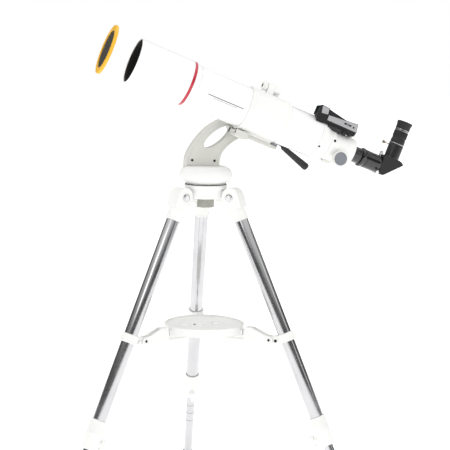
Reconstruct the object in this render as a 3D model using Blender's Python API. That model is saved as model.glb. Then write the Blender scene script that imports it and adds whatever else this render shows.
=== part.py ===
"""A small refractor telescope on a single-arm alt-azimuth mount and a steel tripod.

Lengths are in millimetres and angles in degrees; the helpers scale to metres. +Z is up, the three
feet stand on Z = 0, and the tube's front looks towards -X and up. The tube's own frame runs
X to the rear along its axis, Y to the arm's side and Z away from the tripod. A leg's own frame
hangs from its hinge: -Z runs down the leg and X points outwards.
"""

import math

import bmesh
import bpy
from mathutils import Matrix, Vector

MM = 0.001
GAP = 0.3  # left between two pieces that touch

# Where the azimuth axis stands, so that the whole object's box is centred on the origin.
AXIS_X = -54.55
AXIS_Y = -68.92

# Tripod
LEG_NAMES = ("back", "left", "right")
LEG_AZIMUTH = {"back": 80.6, "left": 200.6, "right": 320.6}
LEG_SPLAY = 24.0
HINGE_RADIUS = 67.4
HINGE_HEIGHT = 776.5
UPPER_TUBE_R = 15.875
LOWER_TUBE_R = 11.0
COLLAR_TOP = 540.0  # distances down the leg from its hinge
COLLAR_END = 609.0
KNOB_DOWN = 585.0
CLAMP_DOWN = 345.6
LOWER_TUBE_TOP = 290.0
FOOT_TIP_R = 14.0
FOOT_CENTRE_Z = 11.0  # height of the foot's round end above the floor
SPREADER_PIN = (-39.4, -338.2)  # in the leg's frame
ARM_REACH = 145.0  # from a spreader's pin to its inner end
TRAY_TOP = -300.0  # from the hinge height
TRAY_BOTTOM = -318.7
TRAY_CORNER = 2.5
TRAY_REACH = 94.0

# Mount head, measured from the hinge height
HUB_R = 47.0
HUB_TOP = 28.4
DISC_TOP = 70.0
ARM_NEAR_Y = -3.0
ARM_THICK = 28.0
PIVOT_X = 80.0
PIVOT_Z = 160.4
ARM_END_R = 22.5
SHAFT_R = 7.0

# Optical tube
ELEVATION = 21.65
TUBE_FROM_PIVOT = (11.6, -58.0, 41.2)  # from the altitude axis, in the tube's own frame
TUBE_R = 47.2
RING_R = 53.0
RING_FRONT = -37.0
RING_REAR = 62.0
RING_PIN_Z = 64.0
DEW_FRONT = -315.0
DEW_REAR = -185.2
DEW_R = 52.5
DEW_BORE = 49.7
FILTER_FRONT = -381.0
BAR_TOP = -54.8
BAR_BOTTOM = -62.0
FOCUS_X = 212.0
FOCUS_Z = -25.5
PINION_R = 6.0
DRAWTUBE_R = 19.0
BARREL_R = 15.875  # the 1.25 inch fittings
HOLDER_SCREW_X = 318.5
HOLDER_SCREW_TURN = 10.0
EYEPIECE_X = 348.5
FINDER_TILT = 33.0
FINDER_AT = (0, -23, 1.7)
FINDER_LEAN = -6.0
HANDLE_ROUTE = ((-4, 38, -52), (20, 38, -46), (78, 38, -43.7), (92, 38, -45), (105, 38, -49.8))
GRIP_PLACE = (97.0, 38.0, -46.7)
GRIP_SLOPE = 17.0
GRIP_LENGTH = 80.0

COLOURS = {
    "off_white_plastic": ((0.80, 0.80, 0.77), 0.45, 0.0),
    "warm_white_plastic": ((0.66, 0.66, 0.61), 0.45, 0.0),
    "gloss_white_paint": ((0.87, 0.87, 0.87), 0.25, 0.0),
    "crimson_plastic": ((0.52, 0.015, 0.04), 0.35, 0.0),
    "black_plastic": ((0.012, 0.012, 0.013), 0.4, 0.0),
    "gloss_black": ((0.008, 0.008, 0.009), 0.15, 0.0),
    "soft_rubber": ((0.015, 0.015, 0.015), 0.8, 0.0),
    "steel_tube": ((0.62, 0.62, 0.63), 0.2, 1.0),
    "bright_chrome": ((0.75, 0.75, 0.76), 0.15, 1.0),
    "grey_plastic": ((0.22, 0.23, 0.25), 0.5, 0.0),
    "silver_plastic": ((0.50, 0.50, 0.51), 0.4, 0.0),
    "amber_card": ((0.85, 0.45, 0.02), 0.5, 0.0),
    "clear_glass": ((0.75, 0.85, 0.85), 0.05, 0.0),
    "mirror_glass": ((0.85, 0.85, 0.86), 0.03, 1.0),
}


# ---- helpers ----

def clear_scene():
    for old in list(bpy.data.objects):
        bpy.data.objects.remove(old, do_unlink=True)


def material(name):
    """The named Principled material, made once."""
    if name in bpy.data.materials:
        return bpy.data.materials[name]
    colour, roughness, metallic = COLOURS[name]
    made = bpy.data.materials.new(name)
    made.use_nodes = True
    shader = made.node_tree.nodes["Principled BSDF"]
    shader.inputs["Base Color"].default_value = (*colour, 1.0)
    shader.inputs["Roughness"].default_value = roughness
    shader.inputs["Metallic"].default_value = metallic
    return made


def frame_at(name, parent=None, place=(0, 0, 0), turn=(0, 0, 0)):
    """An empty that carries pieces: place in mm, turn in degrees, both from its parent."""
    made = bpy.data.objects.new(name, None)
    bpy.context.scene.collection.objects.link(made)
    made.parent = parent
    made.location = Vector(place) * MM
    made.rotation_euler = [math.radians(angle) for angle in turn]
    return made


def piece(name, shape, parent, colour=None):
    """Makes an object of a bmesh in mm. With no colour it is a hidden helper for a Boolean."""
    bmesh.ops.scale(shape, vec=(MM, MM, MM), verts=shape.verts)
    bmesh.ops.recalc_face_normals(shape, faces=shape.faces)
    mesh = bpy.data.meshes.new(name)
    shape.to_mesh(mesh)
    shape.free()
    mesh.shade_smooth()
    mesh.set_sharp_from_angle(angle=math.radians(35))
    made = bpy.data.objects.new(name, mesh)
    bpy.context.scene.collection.objects.link(made)
    made.parent = parent
    if colour:
        mesh.materials.append(material(colour))
    else:
        made.hide_render = True
        made.display_type = "WIRE"
    return made


def combine(target, operation, *shapes, parent=None):
    """Cuts each helper shape from the target, or joins it on. The shapes share the target's
    frame unless another is given."""
    for shape in shapes:
        number = len(target.modifiers)
        name = f"{target.name}_{operation.lower()}_{number}"
        tool = piece(name, shape, parent or target.parent)
        step = target.modifiers.new(tool.name, "BOOLEAN")
        step.operation = operation
        step.object = tool
    return target


def cut(target, *shapes, parent=None):
    return combine(target, "DIFFERENCE", *shapes, parent=parent)


def join(target, *shapes):
    return combine(target, "UNION", *shapes)


AXIS_TURN = {
    "X": Matrix.Identity(3),
    "Y": Matrix(((0, 1, 0), (1, 0, 0), (0, 0, -1))),
    "Z": Matrix(((0, 0, 1), (0, 1, 0), (1, 0, 0))),
}


def turned(profile, axis="X", steps=24, centre=(0, 0, 0), sweep=360.0, start=0.0):
    """Turns a closed profile of (distance along the axis, radius). An edge that lies on the
    axis makes no surface, so a profile that touches the axis makes a solid without a bore."""
    shape = bmesh.new()
    points = [shape.verts.new((along, radius, 0)) for along, radius in profile]
    if sweep < 360:
        geometry = [shape.faces.new(points)]
    else:
        pairs = zip(points, points[1:] + points[:1])
        geometry = [shape.edges.new(pair) for pair in pairs if pair[0].co.y + pair[1].co.y > 0]
    bmesh.ops.rotate(shape, verts=points, matrix=Matrix.Rotation(math.radians(start), 3, "X"))
    bmesh.ops.spin(
        shape,
        geom=points + geometry,
        axis=(1, 0, 0),
        cent=(0, 0, 0),
        angle=math.radians(sweep),
        steps=steps,
        use_merge=sweep >= 360,
    )
    bmesh.ops.remove_doubles(shape, verts=shape.verts, dist=0.0005)
    bmesh.ops.transform(shape, matrix=AXIS_TURN[axis].to_4x4(), verts=shape.verts)
    bmesh.ops.translate(shape, vec=centre, verts=shape.verts)
    return shape


def cylinder(axis, low, high, radius, centre=(0, 0, 0), steps=14):
    return turned([(low, 0), (low, radius), (high, radius), (high, 0)], axis, steps, centre)


def tube(axis, low, high, radius, bore, steps=24, centre=(0, 0, 0)):
    loop = [(low, bore), (low, radius), (high, radius), (high, bore)]
    return turned(loop, axis, steps, centre)


def prism(outline, axis, low, high, bevel=0.0, segments=1):
    """Extrudes an outline along X, Y or Z. The outline's two numbers run along the other two
    axes, in X, Y, Z order. A bevel rounds the edges of both ends."""
    shape = bmesh.new()
    place = {
        "X": lambda p, q: (low, p, q),
        "Y": lambda p, q: (p, low, q),
        "Z": lambda p, q: (p, q, low),
    }[axis]
    face = shape.faces.new([shape.verts.new(place(p, q)) for p, q in outline])
    step = Vector([high - low if letter == axis else 0 for letter in "XYZ"])
    grown = bmesh.ops.extrude_face_region(shape, geom=[face], use_keep_orig=True)["geom"]
    top = [item for item in grown if isinstance(item, bmesh.types.BMVert)]
    bmesh.ops.translate(shape, vec=step, verts=top)
    if bevel:
        caps = [edge for edge in shape.edges if not is_side(edge, step)]
        bmesh.ops.bevel(
            shape, geom=caps, offset=bevel, segments=segments, affect="EDGES", profile=0.5
        )
    return shape


def is_side(edge, step):
    run = edge.verts[1].co - edge.verts[0].co
    return abs(run.normalized().dot(step.normalized())) > 0.99


def box(low, high, bevel=0.0):
    shape = bmesh.new()
    bmesh.ops.create_cube(shape, size=1)
    size = Vector(high) - Vector(low)
    bmesh.ops.scale(shape, vec=size, verts=shape.verts)
    bmesh.ops.translate(shape, vec=Vector(low) + size / 2, verts=shape.verts)
    if bevel:
        bmesh.ops.bevel(
            shape, geom=shape.edges[:], offset=bevel, segments=2, affect="EDGES", profile=0.5
        )
    return shape


def bent_rod(route, radius, steps=10):
    """A round rod along the points of a route."""
    shape = bmesh.new()
    rings = []
    for number, point in enumerate(route):
        before = route[max(number - 1, 0)]
        after = route[min(number + 1, len(route) - 1)]
        run = (Vector(after) - Vector(before)).normalized()
        turn = run.to_track_quat("Z", "Y").to_matrix()
        ring = []
        for step in range(steps):
            angle = math.tau * step / steps
            offset = turn @ Vector((radius * math.cos(angle), radius * math.sin(angle), 0))
            ring.append(shape.verts.new(Vector(point) + offset))
        rings.append(ring)
    for lower, upper in zip(rings, rings[1:]):
        for step in range(steps):
            nxt = (step + 1) % steps
            shape.faces.new((lower[step], lower[nxt], upper[nxt], upper[step]))
    shape.faces.new(rings[0])
    shape.faces.new(rings[-1])
    return shape


def arc(centre, radius, start, end, count):
    """Points from one angle to another round a centre, both ends included."""
    angles = [math.radians(start + (end - start) * step / count) for step in range(count + 1)]
    return [
        (centre[0] + radius * math.cos(angle), centre[1] + radius * math.sin(angle))
        for angle in angles
    ]


def lobed(radius, lobes, depth, count=30):
    """A round outline whose radius dips between its lobes."""
    points = []
    for step in range(count):
        angle = math.tau * step / count
        reach = radius - depth * (0.5 - 0.5 * math.cos(lobes * angle))
        points.append((reach * math.cos(angle), reach * math.sin(angle)))
    return points


def smooth(knots, steps=4):
    """A Catmull-Rom curve through the knots of an open run."""
    ends = [knots[0], *knots, knots[-1]]
    points = []
    for a, b, c, d in zip(ends, ends[1:], ends[2:], ends[3:]):
        for step in range(steps):
            t = step / steps
            points.append(tuple(
                0.5 * (2 * q + (r - p) * t + (2 * p - 5 * q + 4 * r - s) * t * t
                       + (3 * q - p - 3 * r + s) * t ** 3)
                for p, q, r, s in zip(a, b, c, d)
            ))
    return points + [knots[-1]]


# ---- tripod ----

def make_hub(head):
    profile = [
        (-5, 6.5), (-5, 38), (-1, HUB_R), (17, HUB_R), (18, 50),
        (HUB_TOP - 1, 50), (HUB_TOP, 49), (HUB_TOP, 6.5),
    ]
    hub = piece("tripod_hub", turned(profile, "Z", 28), head, "off_white_plastic")
    for name in LEG_NAMES:
        turn = Matrix.Rotation(math.radians(LEG_AZIMUTH[name]), 4, "Z")
        lug = prism(
            [(30, -12), *arc((HINGE_RADIUS, 0), 12, -90, 90, 8), (30, 12)], "Y", -9, 9
        )
        hole = cylinder("Y", -12, 12, 4.0, (HINGE_RADIUS, 0, 0), 10)
        for shape in (lug, hole):
            bmesh.ops.transform(shape, matrix=turn, verts=shape.verts)
        join(hub, lug)
        cut(hub, hole)


def make_leg_head(side, leg):
    top = (2.5, 2.0)
    outline = [(-17, -30), (19, -30), (22, -8), *arc(top, 19.5, 0, 180, 10)]
    head = piece(f"{side}_leg_head", prism(outline, "Y", -19, 19, 2.5, 2), leg, "off_white_plastic")
    sleeve = turned([(-58, 0), (-58, 17), (-57, 18), (-20, 18), (-20, 0)], "Z", 20)
    join(head, sleeve)
    slot = prism(
        [(-24, -15), (10, -15), *arc((0, 0), 15, 0, 60, 4), (-24, 30)], "Y", -9.5, 9.5
    )
    cut(head, slot, cylinder("Z", -60, -24, UPPER_TUBE_R + GAP, steps=20))
    pin = turned(
        [(-22.5, 0), (-22.5, 6.5), (-21.5, 7.5), (-18, 7.5), (-18, 3.6), (18, 3.6),
         (18, 7.5), (21.5, 7.5), (22.5, 6.5), (22.5, 0)], "Y", 14
    )
    join(head, pin)


def make_clamp(side, leg):
    pin_x, pin_z = SPREADER_PIN
    low = -CLAMP_DOWN - 10
    high = -CLAMP_DOWN + 10
    lug = prism(
        [(-17, low + 3), (-17, high), (pin_x, pin_z + 8), *arc((pin_x, pin_z), 8, 90, 250, 8)],
        "Y", -6, 6
    )
    loop = [(low, 16.2), (low, 19), (low + 1, 20), (high - 1, 20), (high, 19), (high, 16.2)]
    clamp = piece(f"{side}_spreader_clamp", turned(loop, "Z", 20), leg, "off_white_plastic")
    join(clamp, lug)
    cut(clamp, cylinder("Y", -8, 8, 3.5, (pin_x, 0, pin_z), 10))


def make_spreader_arm(side, pin):
    outline = [
        (-64, -7), (-4, -9), *arc((0, 0), 9, -60, 90, 6), (-9, 10), (-43, 25), (-60, 25), (-64, 14),
    ]
    arm = piece(f"{side}_spreader_arm", prism(outline, "Y", -10, 10, 1), pin, "off_white_plastic")
    bar = prism([(-ARM_REACH, -7), (-50, -7), (-50, 6), (-ARM_REACH, 6)], "Y", -5, 5, 1)
    join(arm, bar)
    cut(arm, box((-43, -6.6, -20), (20, 6.6, 40)))
    join(arm, cylinder("Y", -9, 9, 3.1, steps=10))


def make_upper_tube(side, leg):
    shape = tube("Z", -584, -24.5, UPPER_TUBE_R, UPPER_TUBE_R - 1.2)
    piece(f"{side}_upper_tube", shape, leg, "steel_tube")


def make_lock_collar(side, leg):
    profile = [
        (-COLLAR_END, LOWER_TUBE_R + 0.4), (-COLLAR_END, 15.5), (-COLLAR_END + 2, 16.8),
        (-575.5, 16.8), (-575, 18.6), (-COLLAR_TOP - 1.5, 18.6), (-COLLAR_TOP, 17.4),
        (-COLLAR_TOP, UPPER_TUBE_R + GAP), (-584.5, UPPER_TUBE_R + GAP), (-584.5, LOWER_TUBE_R + 0.4),
    ]
    collar = piece(f"{side}_lock_collar", turned(profile, "Z", 20), leg, "off_white_plastic")
    boss = cylinder("X", -23, -14, 8, (0, 0, -KNOB_DOWN - 7), 12)
    join(collar, boss)
    cut(collar, cylinder("X", -26, -17, 3.3, (0, 0, -KNOB_DOWN - 7), 10))


def make_lock_knob(side, knob):
    wing = [*arc((0, 10.5), 3.5, 0, 180, 5), *arc((0, -10.5), 3.5, 180, 360, 5)]
    made = piece(f"{side}_lock_knob", prism(wing, "X", -37, -26, 1.5, 2), knob, "off_white_plastic")
    join(made, turned([(-27, 0), (-27, 6), (-23.3, 7), (-23.3, 3), (-18, 3), (-18, 0)], "X", 12))


def make_lower_leg(side, lower):
    tip = (HINGE_HEIGHT - FOOT_CENTRE_Z) / math.cos(math.radians(LEG_SPLAY))
    end = tip - 10
    shape = tube("Z", -end, -LOWER_TUBE_TOP, LOWER_TUBE_R, LOWER_TUBE_R - 1.2, 20)
    piece(f"{side}_lower_tube", shape, lower, "steel_tube")
    round_end = [
        (-tip - FOOT_TIP_R * math.cos(math.radians(angle)), FOOT_TIP_R * math.sin(math.radians(angle)))
        for angle in (0, 15, 30, 45, 60, 75, 90)
    ]
    bore = LOWER_TUBE_R + GAP
    profile = round_end + [
        (-tip + 36, 12.8), (-tip + 38, 12.4), (-tip + 38, bore), (-end - 0.5, bore), (-end - 0.5, 0),
    ]
    profile[0] = (profile[0][0], 0)
    foot = piece(f"{side}_foot", turned(profile, "Z", 18), lower, "soft_rubber")
    # The flat pad on the floor, cut square to the floor through the tilted foot
    floor = box((-60, -60, -60), (60, 60, 0))
    down = Vector((0, 0, -HINGE_HEIGHT / math.cos(math.radians(LEG_SPLAY))))
    bmesh.ops.rotate(floor, verts=floor.verts, matrix=Matrix.Rotation(math.radians(LEG_SPLAY), 3, "Y"))
    bmesh.ops.translate(floor, vec=down, verts=floor.verts)
    cut(foot, floor)


def make_tray(tray_frame):
    def outline(inset):
        points = []
        for step in range(48):
            angle = math.tau * step / 48
            bulge = math.cos(3 * (angle - math.radians(LEG_AZIMUTH["back"])))
            reach = TRAY_REACH + TRAY_CORNER * bulge - inset
            points.append((reach * math.cos(angle), reach * math.sin(angle)))
        return points

    shape = prism(outline(0), "Z", TRAY_BOTTOM, TRAY_TOP, 1.2)
    tray = piece("accessory_tray", shape, tray_frame, "off_white_plastic")
    cut(
        tray,
        prism(outline(3.2), "Z", TRAY_TOP - 4, TRAY_TOP + 5),
        prism(outline(3.2), "Z", TRAY_BOTTOM - 5, TRAY_TOP - 6.5),
    )
    for x, y, radius in ((-45, -3, 12.5), (33, 3, 12.5), (0, 0, 5.5)):
        cut(tray, cylinder("Z", TRAY_BOTTOM - 5, TRAY_TOP + 5, radius, (x, y, 0), 24))


def make_tripod(head):
    make_hub(head)
    make_tray(frame_at("tray_lift", head))
    for side in LEG_NAMES:
        heading = math.radians(LEG_AZIMUTH[side])
        place = (HINGE_RADIUS * math.cos(heading), HINGE_RADIUS * math.sin(heading), 0)
        leg = frame_at(f"{side}_leg_hinge", head, place, (0, -LEG_SPLAY, LEG_AZIMUTH[side]))
        make_leg_head(side, leg)
        make_upper_tube(side, leg)
        make_clamp(side, leg)
        make_lock_collar(side, leg)
        pin_place = (SPREADER_PIN[0], 0, SPREADER_PIN[1])
        make_spreader_arm(side, frame_at(f"{side}_spreader_pin", leg, pin_place, (0, LEG_SPLAY, 0)))
        make_lock_knob(side, frame_at(f"{side}_knob_axis", leg, (0, 0, -KNOB_DOWN - 7)))
        make_lower_leg(side, frame_at(f"{side}_leg_slide", leg))


# ---- mount head ----

def make_azimuth_disc(azimuth):
    profile = [
        (28.9, 6.6), (28.9, 44.5), (31, 45), (38, 59), (42, 61.6), (48, 62), (56, 60.8),
        (63, 57), (67.5, 52), (DISC_TOP, 47), (DISC_TOP, 0), (42, 0), (42, 6.6),
    ]
    disc = piece("azimuth_disc", turned(profile, "Z", 32), azimuth, "off_white_plastic")
    far_y = ARM_NEAR_Y + ARM_THICK
    pocket = box((-51.5, ARM_NEAR_Y - GAP, 58), (34, far_y + GAP, DISC_TOP + 10))
    cut(disc, pocket)


def make_arm(azimuth):
    pivot = (PIVOT_X, PIVOT_Z)
    front = smooth([(-51, 62), (-49.6, 72), (-45.2, 98), (-27.4, 128), (-0.2, 158), (32.7, 178), (60, 184)])
    rear = smooth([(93, 141.5), (68.6, 127.8), (52, 115.4), (39.4, 101.3), (33.2, 84), (32.3, 70), (32.5, 62)])
    outline = front[:-1] + arc(pivot, ARM_END_R, 92, -52, 12) + rear
    near = ARM_NEAR_Y
    far = ARM_NEAR_Y + ARM_THICK
    # The pocketed foot sits in the disc, and stops just above its floor
    outline = [(x, max(z, 58 + GAP)) for x, z in outline]
    arm = piece("mount_arm", prism(outline, "Y", near, far, 3, 2), azimuth, "warm_white_plastic")
    tilt = math.radians(37)
    oval = []
    for step in range(24):
        angle = math.tau * step / 24
        along = 37 * math.cos(angle)
        across = 13.6 * math.copysign(abs(math.sin(angle)) ** 0.85, math.sin(angle))
        oval.append((
            25.7 + along * math.cos(tilt) - across * math.sin(tilt),
            137 + along * math.sin(tilt) + across * math.cos(tilt),
        ))
    hand_hole = prism(oval, "Y", near - 5, far + 5)
    shaft_hole = cylinder("Y", near - 5, far + 5, SHAFT_R + 0.3, (PIVOT_X, 0, PIVOT_Z), 20)
    cut(arm, hand_hole, shaft_hole)


def make_azimuth_knob(azimuth_knob):
    shape = prism(lobed(20.5, 6, 3.5), "Z", -26, -6, 2, 2)
    knob = piece("azimuth_knob", shape, azimuth_knob, "grey_plastic")
    join(knob, cylinder("Z", -8, 40, 6.2, steps=14))


def make_saddle(tube_frame):
    """The clamp for the dovetail bar, with the shaft that turns in the arm."""
    pivot = (-TUBE_FROM_PIVOT[0], -TUBE_FROM_PIVOT[2])
    outline = [
        (-25, -67), (25, -67), (25, -52.2), (17.6, -52.2), (17.6, -54.3), (21.2, BAR_BOTTOM - GAP),
        (-21.2, BAR_BOTTOM - GAP), (-17.6, -54.3), (-17.6, -52.2), (-25, -52.2),
    ]
    shape = prism(outline, "X", -40, -8)
    saddle = piece("dovetail_saddle", shape, tube_frame, "warm_white_plastic")
    ear_far = ARM_NEAR_Y - TUBE_FROM_PIVOT[1] - GAP
    ear = prism([(-24, -67), (-2, -67), *arc(pivot, 10, 0, 180, 10)], "Y", 46, ear_far, 1)
    shelf = box((-23, 20, -67), (-3, ear_far - 1, -62.5))
    shaft_end = ear_far + ARM_THICK + 14
    shaft = cylinder("Y", 47, shaft_end, SHAFT_R, (pivot[0], 0, pivot[1]), 20)
    join(saddle, shelf, ear, shaft)
    cut(saddle, cylinder("Y", 21.8, 30, 3.3, (-33, 0, -57), 10))


def make_saddle_knob(knob):
    shape = prism(lobed(8, 5, 1.6, 20), "Y", 25.5, 41, 1)
    made = piece("saddle_knob", shape, knob, "black_plastic")
    join(made, cylinder("Y", 22.2, 27, 3.0, steps=10))


def make_altitude_knob(knob):
    inner = ARM_NEAR_Y + ARM_THICK + GAP
    shape = prism(lobed(22, 7, 3, 35), "Y", inner, inner + 17, 2, 2)
    made = piece("altitude_knob", shape, knob, "warm_white_plastic")
    cut(made, cylinder("Y", inner - 5, inner + 14, SHAFT_R + GAP, steps=14))


def make_handle(tube_frame, grip_frame):
    piece("handle_rod", bent_rod(HANDLE_ROUTE, 2.6), tube_frame, "gloss_black")
    end = GRIP_LENGTH
    profile = [
        (0, 3.3), (0, 4.6), (2, 5.6), (6, 5.9), (end - 6, 8.7), (end - 1, 8.2), (end, 6.5),
        (end, 0), (14, 0), (14, 3.3),
    ]
    piece("handle_grip", turned(profile, "X", 12), grip_frame, "soft_rubber")


# ---- optical tube, drawn in the tube's frame ----

CELL_OUTER = ((150, TUBE_R), (156, TUBE_R), (163, 45.6), (169, 42.6), (172.5, 40), (178, 40))
BODY_OUTER = (
    (178.3, 39.2), (180, 40), (184, 39.6), (190, 37.5), (197, 34.8), (206, 33.4), (244, 33),
    (246, 32), (247, 30.5),
)


def make_solar_filter(filter_frame):
    front = FILTER_FRONT
    profile = [
        (front, 45), (front, 56.5), (front + 1, 57.5), (front + 10, 57.5), (front + 10, 53.2),
        (front + 2.5, 53.2), (front + 2.5, 45),
    ]
    piece("solar_filter_ring", turned(profile, "X", 36), filter_frame, "amber_card")
    foil = cylinder("X", front + 2.8, front + 3.2, 52.8, steps=36)
    piece("solar_filter_foil", foil, filter_frame, "silver_plastic")


def make_front(tube_frame):
    shield = [
        (DEW_FRONT, DEW_BORE + 0.8), (DEW_FRONT, DEW_R), (DEW_REAR, DEW_R), (DEW_REAR, DEW_BORE),
        (DEW_FRONT + 6, DEW_BORE),
    ]
    piece("dew_shield", turned(shield, "X", 36), tube_frame, "gloss_white_paint")
    band = tube("X", DEW_REAR + GAP, -175.4, DEW_R, DEW_BORE, 36)
    piece("red_band", band, tube_frame, "crimson_plastic")
    cell = [
        (-212, 41.8), (-212, 48.4), (-211, 49.4), (-175.1, 49.4), (-175.1, 49.6), (-168, 49.6),
        (-165, 48.6), (-164, 47.4), (-164, 45.4), (-140, 45.4), (-140, 40.5), (-191, 40.5),
        (-191, 41.8),
    ]
    piece("lens_cell", turned(cell, "X", 36), tube_frame, "gloss_white_paint")
    lens = [
        (-208, 0), (-207.6, 12), (-206.4, 24), (-204.2, 36), (-203, 41.5), (-192, 41.5),
        (-192.5, 24), (-192.7, 0),
    ]
    piece("objective_lens", turned(lens, "X", 28), tube_frame, "clear_glass")
    body = tube("X", -163.7, 149.7, TUBE_R, TUBE_R - 1.5, 36)
    piece("main_tube", body, tube_frame, "gloss_white_paint")


def make_ring_half(name, side, tube_frame):
    """One half of the tube ring, on the side of -1 (towards the handle's far side) or +1."""
    beads = []
    for foot, way in ((RING_FRONT, 1), (RING_REAR, -1)):
        run = [(0, RING_R - 1.5), (1, RING_R), (5, RING_R), (6, RING_R - 1), (9, RING_R - 1),
               (10, RING_R), (13, RING_R), (14, RING_R - 1)]
        beads.append([(foot + way * along, radius) for along, radius in run])
    bore = TUBE_R + GAP
    loop = [(RING_FRONT, bore), *beads[0], *reversed(beads[1]), (RING_REAR, bore)]
    start = 90.4 if side < 0 else -89.6
    half = piece(name, turned(loop, "X", 18, sweep=179.2, start=start), tube_frame, "off_white_plastic")
    knuckle = [
        (side * 0.4, 49), (side * 10.5, 49), (side * 10.5, RING_PIN_Z),
        *[(side * y, z) for y, z in arc((0, RING_PIN_Z), 10.5, 20, 200, 10)],
        (side * -5, 57), (side * 0.4, 54.8),
    ]
    low, high = (-2.2, 13) if side < 0 else (13.3, 30)
    foot = [(side * 0.4, -50), (side * 0.4, -54.5), (side * 15, -54.5), (side * 15, -49)]
    join(half, prism(knuckle, "X", low, high), prism(foot, "X", -20, 50))
    cut(half, cylinder("X", low - 3, high + 3, 3.4, (0, 0, RING_PIN_Z), 10))


def make_ring_knob(knob):
    shape = prism(lobed(10, 10, 1.0, 30), "X", -14.5, -2.5, 1)
    made = piece("ring_knob", shape, knob, "off_white_plastic")
    join(made, cylinder("X", -4, 29, 3.0, steps=10))


def make_dovetail_bar(tube_frame):
    outline = [(-20.8, BAR_BOTTOM), (20.8, BAR_BOTTOM), (17.2, BAR_TOP), (-17.2, BAR_TOP)]
    piece("dovetail_bar", prism(outline, "X", -42.0, 67), tube_frame, "warm_white_plastic")


def make_rear_cell(tube_frame):
    loop = [
        (130, 43.8), (130, 45.4), (150, 45.4), *CELL_OUTER, (178, 21.5), (174.5, 21.5),
        (174.5, 36), (168, 38.5), (160, 42), (150, 43.8),
    ]
    piece("rear_cell", turned(loop, "X", 36), tube_frame, "off_white_plastic")


def make_focuser_body(tube_frame):
    profile = [(178.3, 0), *BODY_OUTER, (247, 0)]
    body = piece("focuser_body", turned(profile, "X", 28), tube_frame, "off_white_plastic")
    shaft_at = (FOCUS_X, 0, FOCUS_Z)
    join(body, cylinder("Y", -35.6, 35.6, 9.5, shaft_at, 20))
    cut(
        body,
        cylinder("X", 170, 260, DRAWTUBE_R + GAP, steps=28),
        turned(
            [(-40, 0), (-40, 3.4), (-10, 3.4), (-10, PINION_R + 0.7), (10, PINION_R + 0.7),
             (10, 3.4), (40, 3.4), (40, 0)], "Y", 14, shaft_at
        ),
    )


def make_focuser_shaft(shaft_frame):
    profile = [
        (-46, 0), (-46, 3), (-9, 3), (-9, PINION_R), (9, PINION_R), (9, 3), (46, 3), (46, 0),
    ]
    piece("focus_shaft", turned(profile, "Y", 12), shaft_frame, "bright_chrome")
    for name, side in (("focus_knob_near", -1), ("focus_knob_far", 1)):
        profile = [
            (36, 3.3), (36, 16.8), (37.5, 18.2), (47, 18.2), (48.5, 17.2), (48.5, 15.4), (48, 15),
            (48, 0), (46.4, 0), (46.4, 3.3),
        ]
        profile = [(side * along, radius) for along, radius in profile]
        piece(name, turned(profile, "Y", 24), shaft_frame, "grey_plastic")


def make_drawtube(draw_frame):
    shape = tube("X", 110, 272, DRAWTUBE_R, DRAWTUBE_R - 1.5, 28)
    piece("drawtube", shape, draw_frame, "gloss_black")
    bore = BARREL_R + GAP
    loop = [
        (264, bore), (264, DRAWTUBE_R - 1.8), (272.3, DRAWTUBE_R - 1.8), (272.3, 22), (273, 22.7),
        (278.5, 22.7), (279.5, 21.8), (281, 21), (322, 21), (323.4, 20), (323.4, bore),
    ]
    holder = piece("diagonal_holder", turned(loop, "X", 28), draw_frame, "black_plastic")
    hole = cylinder("Z", 14, 24, 2.1, (HOLDER_SCREW_X, 0, 0), 10)
    turn = Matrix.Rotation(math.radians(HOLDER_SCREW_TURN), 3, "X")
    bmesh.ops.rotate(hole, verts=hole.verts, matrix=turn)
    cut(holder, hole)


def make_holder_screw(screw_frame):
    profile = [
        (16.6, 0), (16.6, 1.7), (23.6, 1.7), (23.6, 2.6), (25.6, 2.6), (26.2, 4.2), (32.6, 4.2),
        (33.2, 3.6), (33.2, 0),
    ]
    piece("holder_screw", turned(profile, "Z", 12), screw_frame, "bright_chrome")


def make_diagonal(diagonal):
    outline = [(324, 26), (363, 26), (370, 24.5), (377, 19.5), (337, -20.5), (324, -20.5)]
    shape = prism(outline, "Y", -19, 19, 0.8)
    body = piece("diagonal_body", shape, diagonal, "gloss_black")
    nose = tube("X", 290, 325, BARREL_R, 14.0, 24)
    socket = tube("Z", 25, 62, 17.6, 14.5, 24, (EYEPIECE_X, 0, 0))
    join(body, nose, socket)
    mirror_room = box((-21.5, -15.8, -4.1), (21.5, 15.8, 0.3))
    place = Matrix.Translation((EYEPIECE_X, 0, 0)) @ Matrix.Rotation(math.radians(-45), 4, "Y")
    bmesh.ops.transform(mirror_room, matrix=place, verts=mirror_room.verts)
    light_in = [(315, 0), (315, 14), (337, 14), (EYEPIECE_X + 2, 5), (EYEPIECE_X + 2, 0)]
    light_up = [
        (5, 0), (5, 6), (14, 14), (20, 14), (20, BARREL_R + GAP), (70, BARREL_R + GAP), (70, 0),
    ]
    cut(
        body,
        turned(light_in, "X", 24),
        turned(light_up, "Z", 24, (EYEPIECE_X, 0, 0)),
        mirror_room,
        cylinder("X", EYEPIECE_X - 26, EYEPIECE_X - 10, 1.6, (0, 0, 55), 10),
    )
    mirror = frame_at("mirror_face", diagonal, (EYEPIECE_X, 0, 0), (0, -45, 0))
    piece("diagonal_mirror", box((-20, -15.5, -3.6), (20, 15.5, 0), 0.4), mirror, "mirror_glass")


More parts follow.
